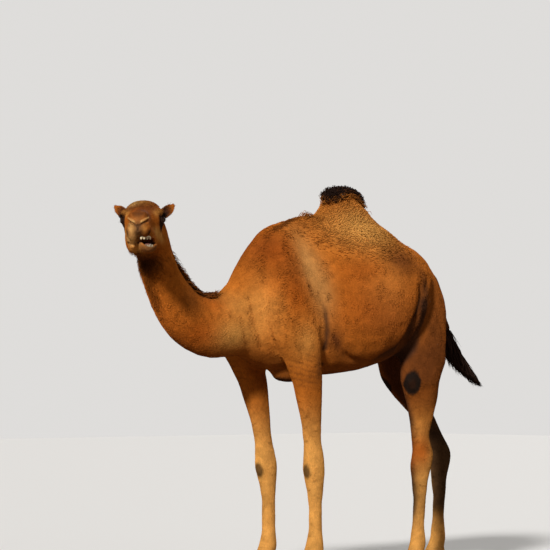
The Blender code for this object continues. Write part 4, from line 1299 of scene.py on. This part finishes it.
class OBJECT_OT_camel_long_hair(bpy.types.Operator):
    """Grows the long hair of crest, nape, throat, back, ears and lids"""

    bl_idname = "object.camel_long_hair"
    bl_label = "Camel Long Hair"

    def execute(self, context):
        coat = context.scene.camel_coat
        scalp = Scalp(bpy.data.objects["skin"])
        for index, (name, shape) in enumerate(LONG_HAIR.items()):
            count, long, slim, rise, droop, curl, turns, fall, rings, tone, chance = shape
            rng = np.random.default_rng(coat.seed + LONG_HAIR_DRAWS + index)
            root, normal, uv = scalp.roots(chance(scalp.centre), count, rng)
            way = jitter(lie_of_coat(root, normal), normal, LONG_HAIR_TURN, rng)
            length = long * rng.uniform(0.6, 1.25, count)
            width = length * slim * rng.uniform(0.8, 1.2, count)
            colours = markings(root) * tone
            tufts(name, root, normal, way, uv, length, width, colours, rng,
                  rise, droop, rings, curl, turns, fall)
        rng = np.random.default_rng(coat.seed + LASH_DRAWS)
        roots, ways, lengths = [], [], []
        for _, sign in SIDES:
            for count, upper, long in LASHES:
                root, way = lash_roots(sign, count, upper, rng)
                roots.append(root)
                ways.append(way)
                lengths.append(long * rng.uniform(0.8, 1.15, count))
        root, way, length = np.concatenate(roots), np.concatenate(ways), np.concatenate(lengths)
        normal = unit(np.cross(np.cross(way, (0.0, 0.0, 1.0)), way))
        colours = np.tile(np.array(context.scene.camel_colours.dark[:]) * 0.5, (len(root), 1))
        tufts("eyelashes", root, normal, way, scalp.uv_near(root), length, length * 0.055, colours, rng,
              rise=-0.1, droop=-0.3, rings=3, sink=0.0)
        return {"FINISHED"}


# ---- Eyes, teeth, tongue, nails and tail ------------------------------------------------
def rounded_copy(name, nodes, material, grain, rounds):
    """A finer, softened copy of small CAD nodes, which it then stands for."""
    piece = solid_copy(name, nodes)
    apply_modifier(piece, "REMESH", mode="VOXEL", voxel_size=grain)
    relax(piece, rounds)
    smooth_shaded(piece)
    piece.data.materials.append(material)
    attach(piece, "root")
    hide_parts(*nodes)
    return piece


def eye_material():
    material, tree, shader = new_material("camel_eye", 0.1)
    tree.links.new(painted_colour(tree), shader.inputs["Base Color"])
    shader.inputs["Specular IOR Level"].default_value = 0.25
    shader.inputs["IOR"].default_value = 1.33
    return material


EYE_RIM_COLOUR = (0.008, 0.007, 0.007)
PUPIL_COLOUR = (0.002, 0.002, 0.003)
PUPIL_WIDE, PUPIL_HIGH = 0.0068, 0.0038  # half sizes
EYE_BULGE = 0.0011  # how far the cornea stands out


class OBJECT_OT_camel_eyes(bpy.types.Operator):
    """Makes the two dark eyes with their long pupils"""

    bl_idname = "object.camel_eyes"
    bl_label = "Camel Eyes"

    def execute(self, context):
        look = context.scene.camel_colours
        material = eye_material()
        for word, sign in SIDES:
            deselect()
            bpy.ops.mesh.primitive_uv_sphere_add(segments=64, ring_count=40, radius=EYE_RADIUS)
            eye = context.object
            eye.name = eye.data.name = "eyeball_" + word
            centre, ahead, along, upward = eye_frame(sign)
            co = points_of(eye)
            across, height, out = co.T
            round_share = np.hypot(across, height) / EYE_RADIUS
            bulge = EYE_BULGE * ramp(round_share, 0.62, 0.2) * (out > 0)
            place = across[:, None] * along + height[:, None] * upward + (out + bulge)[:, None] * ahead
            pupil = ramp(np.hypot(across / PUPIL_WIDE, height / PUPIL_HIGH), 1.15, 0.85)
            iris = ramp(round_share, 0.66, 0.56)
            fibre = 1 + 0.35 * np.sin(37 * np.arctan2(height, across))
            colours = np.tile(EYE_RIM_COLOUR, (len(co), 1))
            colours = blend(colours, look.iris, iris) * (1 + (fibre - 1) * iris)[:, None]
            colours = blend(colours, PUPIL_COLOUR, pupil)
            paint(eye, colours)
            set_points(eye, from_head(centre + place))
            with editing(eye):
                bpy.ops.mesh.normals_make_consistent(inside=False)
            smooth_shaded(eye)
            eye.data.materials.append(material)
            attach(eye, "root")
            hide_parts("eye_" + word)
        return {"FINISHED"}


class OBJECT_OT_camel_mouth(bpy.types.Operator):
    """Makes the worn teeth and the moist tongue"""

    bl_idname = "object.camel_mouth"
    bl_label = "Camel Mouth"

    def execute(self, context):
        look = context.scene.camel_colours
        ivory = grain_material(
            "worn_teeth", look.tooth[:], (0.62, 0.48, 0.27), scale=90.0, roughness=0.4, depth=0.0008
        )
        # The lower row is yellowed, and darker still as painted shade under the lip.
        shaded_yellow = grain_material(
            "yellowed_teeth", (0.26, 0.19, 0.1), (0.16, 0.1, 0.05), scale=90.0, roughness=0.45, depth=0.0008
        )
        moist = grain_material(
            "moist_tongue", look.tongue[:], (0.13, 0.045, 0.035), scale=260.0, roughness=0.5, depth=0.001
        )
        for row, enamel in (("upper", ivory), ("lower", shaded_yellow)):
            rounded_copy(row + "_row_of_teeth", [row + "_teeth"], enamel, grain=0.0011, rounds=5)
        rounded_copy("tongue_in_mouth", ["tongue"], moist, grain=0.0022, rounds=8)
        return {"FINISHED"}


NAIL_TAPER = 0.2  # narrower above and wider below, by this share
NAIL_DEPTH = 0.7  # share of the CAD nail's depth that is kept, from its rear
NAIL_LEAN = 0.0045  # how far the top leans back
NAIL_LIFT = 0.003  # height of the nails over the CAD nails' lower side


class OBJECT_OT_camel_nails(bpy.types.Operator):
    """Makes the eight toenails"""

    bl_idname = "object.camel_nails"
    bl_label = "Camel Nails"

    def execute(self, context):
        look = context.scene.camel_colours
        horn = grain_material(
            "horn", look.nail[:], (0.1, 0.066, 0.04), scale=55.0, roughness=0.6, depth=0.0015
        )
        for leg in ("fore", "hind"):
            these = [name for name in NAILS if name.startswith(leg)]
            piece = rounded_copy(leg + "_nails", these, horn, grain=0.0019, rounds=6)
            co = points_of(piece)
            for name in these:
                low, high = (np.array(corner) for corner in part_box(name))
                inside = ((co > low - 0.004) & (co < high + 0.004)).all(axis=1)
                height = (2 * co[inside] - low - high)[:, 2] / (high - low)[2]
                across = (co[inside] - (low + high) / 2)[:, 0]
                co[inside, 0] -= across * NAIL_TAPER * height
                co[inside, 1] = high[1] - (high[1] - co[inside, 1]) * NAIL_DEPTH + NAIL_LEAN * height
                co[inside, 2] = np.maximum(co[inside, 2], low[2] + NAIL_LIFT)
            set_points(piece, co)
        return {"FINISHED"}


TAIL_LOCKS = 1500
TAIL_CORE_SHARE = 0.86  # length of the brush's core, to the CAD brush


class OBJECT_OT_camel_tail_tuft(bpy.types.Operator):
    """Makes the dark brush that ends the tail"""

    bl_idname = "object.camel_tail_tuft"
    bl_label = "Camel Tail Tuft"

    def execute(self, context):
        coat = context.scene.camel_coat
        dark = np.array(context.scene.camel_colours.dark[:])
        core = solid_copy("tail_core", ["tail_tuft"])
        apply_modifier(core, "REMESH", mode="VOXEL", voxel_size=0.006)
        relax(core, 6)
        co = points_of(core)
        height = co[:, 2].copy()
        bend = np.polyfit(height, co[:, 1], 3)
        lean = np.polyfit(height, co[:, 0], 3)
        spine = np.c_[np.polyval(lean, height), np.polyval(bend, height), height]
        low, high = height.min(), height.max()
        share = (high - height) / (high - low)
        co = spine + (co - spine) * (0.8 - 0.3 * share)[:, None]
        co[:, 2] = high - (high - co[:, 2]) * TAIL_CORE_SHARE
        set_points(core, co)
        smooth_shaded(core)
        paint(core, np.tile(dark * 0.8, (len(co), 1)))
        unwrap(core)
        core.data.materials.append(wool_material(*HIDE))
        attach(core, "root")
        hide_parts("tail_tuft")
        scalp = Scalp(core)
        rng = np.random.default_rng(coat.seed + TAIL_DRAWS)
        count = TAIL_LOCKS
        root, normal, uv = scalp.roots(np.ones(len(scalp.centre)), count, rng)
        slope = np.polyval(np.polyder(bend), root[:, 2])
        aside = 0.1 * rng.standard_normal(count)
        behind = 0.08 * rng.standard_normal(count) - slope
        way = unit(np.c_[aside, behind, -np.ones(count)])
        way = unit(way - 0.6 * normal * (way * normal).sum(axis=1)[:, None])
        room = (root[:, 2] - low) * 1.05 + 0.012
        length = np.minimum(rng.uniform(0.07, 0.15, count), room)
        width = length * 0.045 + 0.0015
        colours = dark * rng.uniform(0.7, 1.9, count)[:, None]
        locks = tufts("tail_locks", root, normal, way, uv, length, width, colours, rng,
                      rise=0.1, droop=0.12, rings=3, curl=0.05, turns=0.5)
        return {"FINISHED"}


# ---- Operators -------------------------------------------------------------------------
class OBJECT_OT_camel_skin(bpy.types.Operator):
    """Builds the one skin that stands for all the nodes of flesh"""

    bl_idname = "object.camel_skin"
    bl_label = "Camel Skin"

    def execute(self, context):
        skin = build_skin(context.scene.camel_skin)
        paint(skin, markings(points_of(skin)) * 0.92)
        unwrap(skin)
        skin.data.materials.append(wool_material(*HIDE))
        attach(skin, "root")
        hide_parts(*FLESH)
        return {"FINISHED"}


def look_along(obj, place, forward):
    """Puts a camera or light at a place, looking along a direction and held upright."""
    forward = Vector(forward).normalized()
    right = forward.cross(Vector((0, 0, 1))).normalized()
    upward = right.cross(forward)
    turn = Matrix((right, upward, -forward)).transposed().to_4x4()
    obj.matrix_world = Matrix.Translation(place) @ turn


def choose_by_ray(tree, ray, usual, chosen, output):
    """Shows one shader to rays of the named kind and the usual one to all others."""
    paths = tree.nodes.new("ShaderNodeLightPath")
    choice = tree.nodes.new("ShaderNodeMixShader")
    tree.links.new(paths.outputs[ray], choice.inputs[0])
    tree.links.new(usual.outputs[0], choice.inputs[1])
    tree.links.new(chosen.outputs[0], choice.inputs[2])
    tree.links.new(choice.outputs[0], tree.nodes[output].inputs["Surface"])


def add_floor(colour):
    """A pale floor that casts little light back up."""
    deselect()
    bpy.ops.mesh.primitive_plane_add(size=60)
    floor = bpy.context.object
    floor.name = "floor"
    material, tree, shader = new_material("pale_floor", 0.85)
    shader.inputs["Base Color"].default_value = (*colour, 1.0)
    shader.inputs["Specular IOR Level"].default_value = 0.1
    quiet = add(tree, "BsdfDiffuse", Color=(0.2, 0.15, 0.11, 1.0))
    choose_by_ray(tree, "Is Diffuse Ray", shader, quiet, "Material Output")
    floor.data.materials.append(material)


def add_camera(place, forward, lens):
    camera = bpy.data.objects.new("camera", bpy.data.cameras.new("camera"))
    bpy.context.scene.collection.objects.link(camera)
    camera.data.lens = lens
    camera.data.sensor_width = 36.0
    camera.data.clip_end = 200.0
    look_along(camera, place, forward)
    bpy.context.scene.camera = camera


def add_world():
    """Soft light all round, behind a plain backdrop that only the camera sees."""
    world = bpy.data.worlds.new("studio")
    world.use_nodes = True
    light = world.node_tree.nodes["Background"]
    light.inputs["Color"].default_value = (1.0, 0.98, 0.95, 1.0)
    light.inputs["Strength"].default_value = 0.26
    backdrop = add(world.node_tree, "Background", Color=(0.735, 0.722, 0.706, 1.0), Strength=1.0)
    choose_by_ray(world.node_tree, "Is Camera Ray", light, backdrop, "World Output")
    bpy.context.scene.world = world


# Lights: name, way to the light (right, towards the camera, up), strength and spread in degrees.
LIGHTS = (
    ("key", (-0.28, 0.84, 0.46), 3.6, 7),
    ("fill", (0.5, 0.8, 0.3), 0.16, 40),
    ("rim", (0.3, -0.9, 0.45), 1.2, 25),
)


class SCENE_OT_camel_stage(bpy.types.Operator):
    """Makes the floor, the lights and the camera"""

    bl_idname = "scene.camel_stage"
    bl_label = "Camel Stage"

    def execute(self, context):
        stage = context.scene.camel_stage
        add_floor(stage.floor)
        around, pitch = stage.azimuth, stage.pitch
        out = Vector((math.sin(around), -math.cos(around), 0))
        right = Vector((math.cos(around), math.sin(around), 0))
        place = Vector(UNDER_HUMP) + out * stage.distance - right * stage.aside
        place.z = stage.height
        add_camera(place, Vector((0, 0, math.sin(pitch))) - out * math.cos(pitch), stage.lens)
        add_world()
        for name, (from_right, from_camera, from_above), energy, spread in LIGHTS:
            light = bpy.data.lights.new(name, "SUN")
            light.energy = energy
            light.angle = math.radians(spread)
            lamp = bpy.data.objects.new(name, light)
            context.scene.collection.objects.link(lamp)
            way = right * from_right + out * from_camera + Vector((0, 0, from_above))
            look_along(lamp, way * 10.0, -way)
        context.scene.view_settings.view_transform = "Standard"
        return {"FINISHED"}


OPERATORS = (
    OBJECT_OT_camel_skin,
    OBJECT_OT_camel_eyes,
    OBJECT_OT_camel_mouth,
    OBJECT_OT_camel_nails,
    OBJECT_OT_camel_tail_tuft,
    OBJECT_OT_camel_coat,
    OBJECT_OT_camel_long_hair,
    SCENE_OT_camel_stage,
)


class VIEW3D_PT_camel(bpy.types.Panel):
    """Lists the steps that dress the camel"""

    bl_label = "Camel"
    bl_idname = "VIEW3D_PT_camel"
    bl_space_type = "VIEW_3D"
    bl_region_type = "UI"
    bl_category = "Camel"

    def draw(self, context):
        for operator in OPERATORS:
            self.layout.operator(operator.bl_idname)
        for group in SETTINGS:
            settings = getattr(context.scene, group)
            for name in settings.__annotations__:
                self.layout.prop(settings, name)


CLASSES = (*SETTINGS.values(), *OPERATORS, VIEW3D_PT_camel)


def register():
    for made in CLASSES:
        bpy.utils.register_class(made)
    for name, group in SETTINGS.items():
        setattr(bpy.types.Scene, name, PointerProperty(type=group))


def unregister():
    for name in SETTINGS:
        delattr(bpy.types.Scene, name)
    for made in reversed(CLASSES):
        bpy.utils.unregister_class(made)


def main():
    register()
    bpy.ops.object.camel_skin()
    bpy.ops.object.camel_eyes()
    bpy.ops.object.camel_mouth()
    bpy.ops.object.camel_nails()
    bpy.ops.object.camel_tail_tuft()
    bpy.ops.object.camel_coat()
    bpy.ops.object.camel_long_hair()
    bpy.ops.scene.camel_stage()


if __name__ == "__main__":
    main()
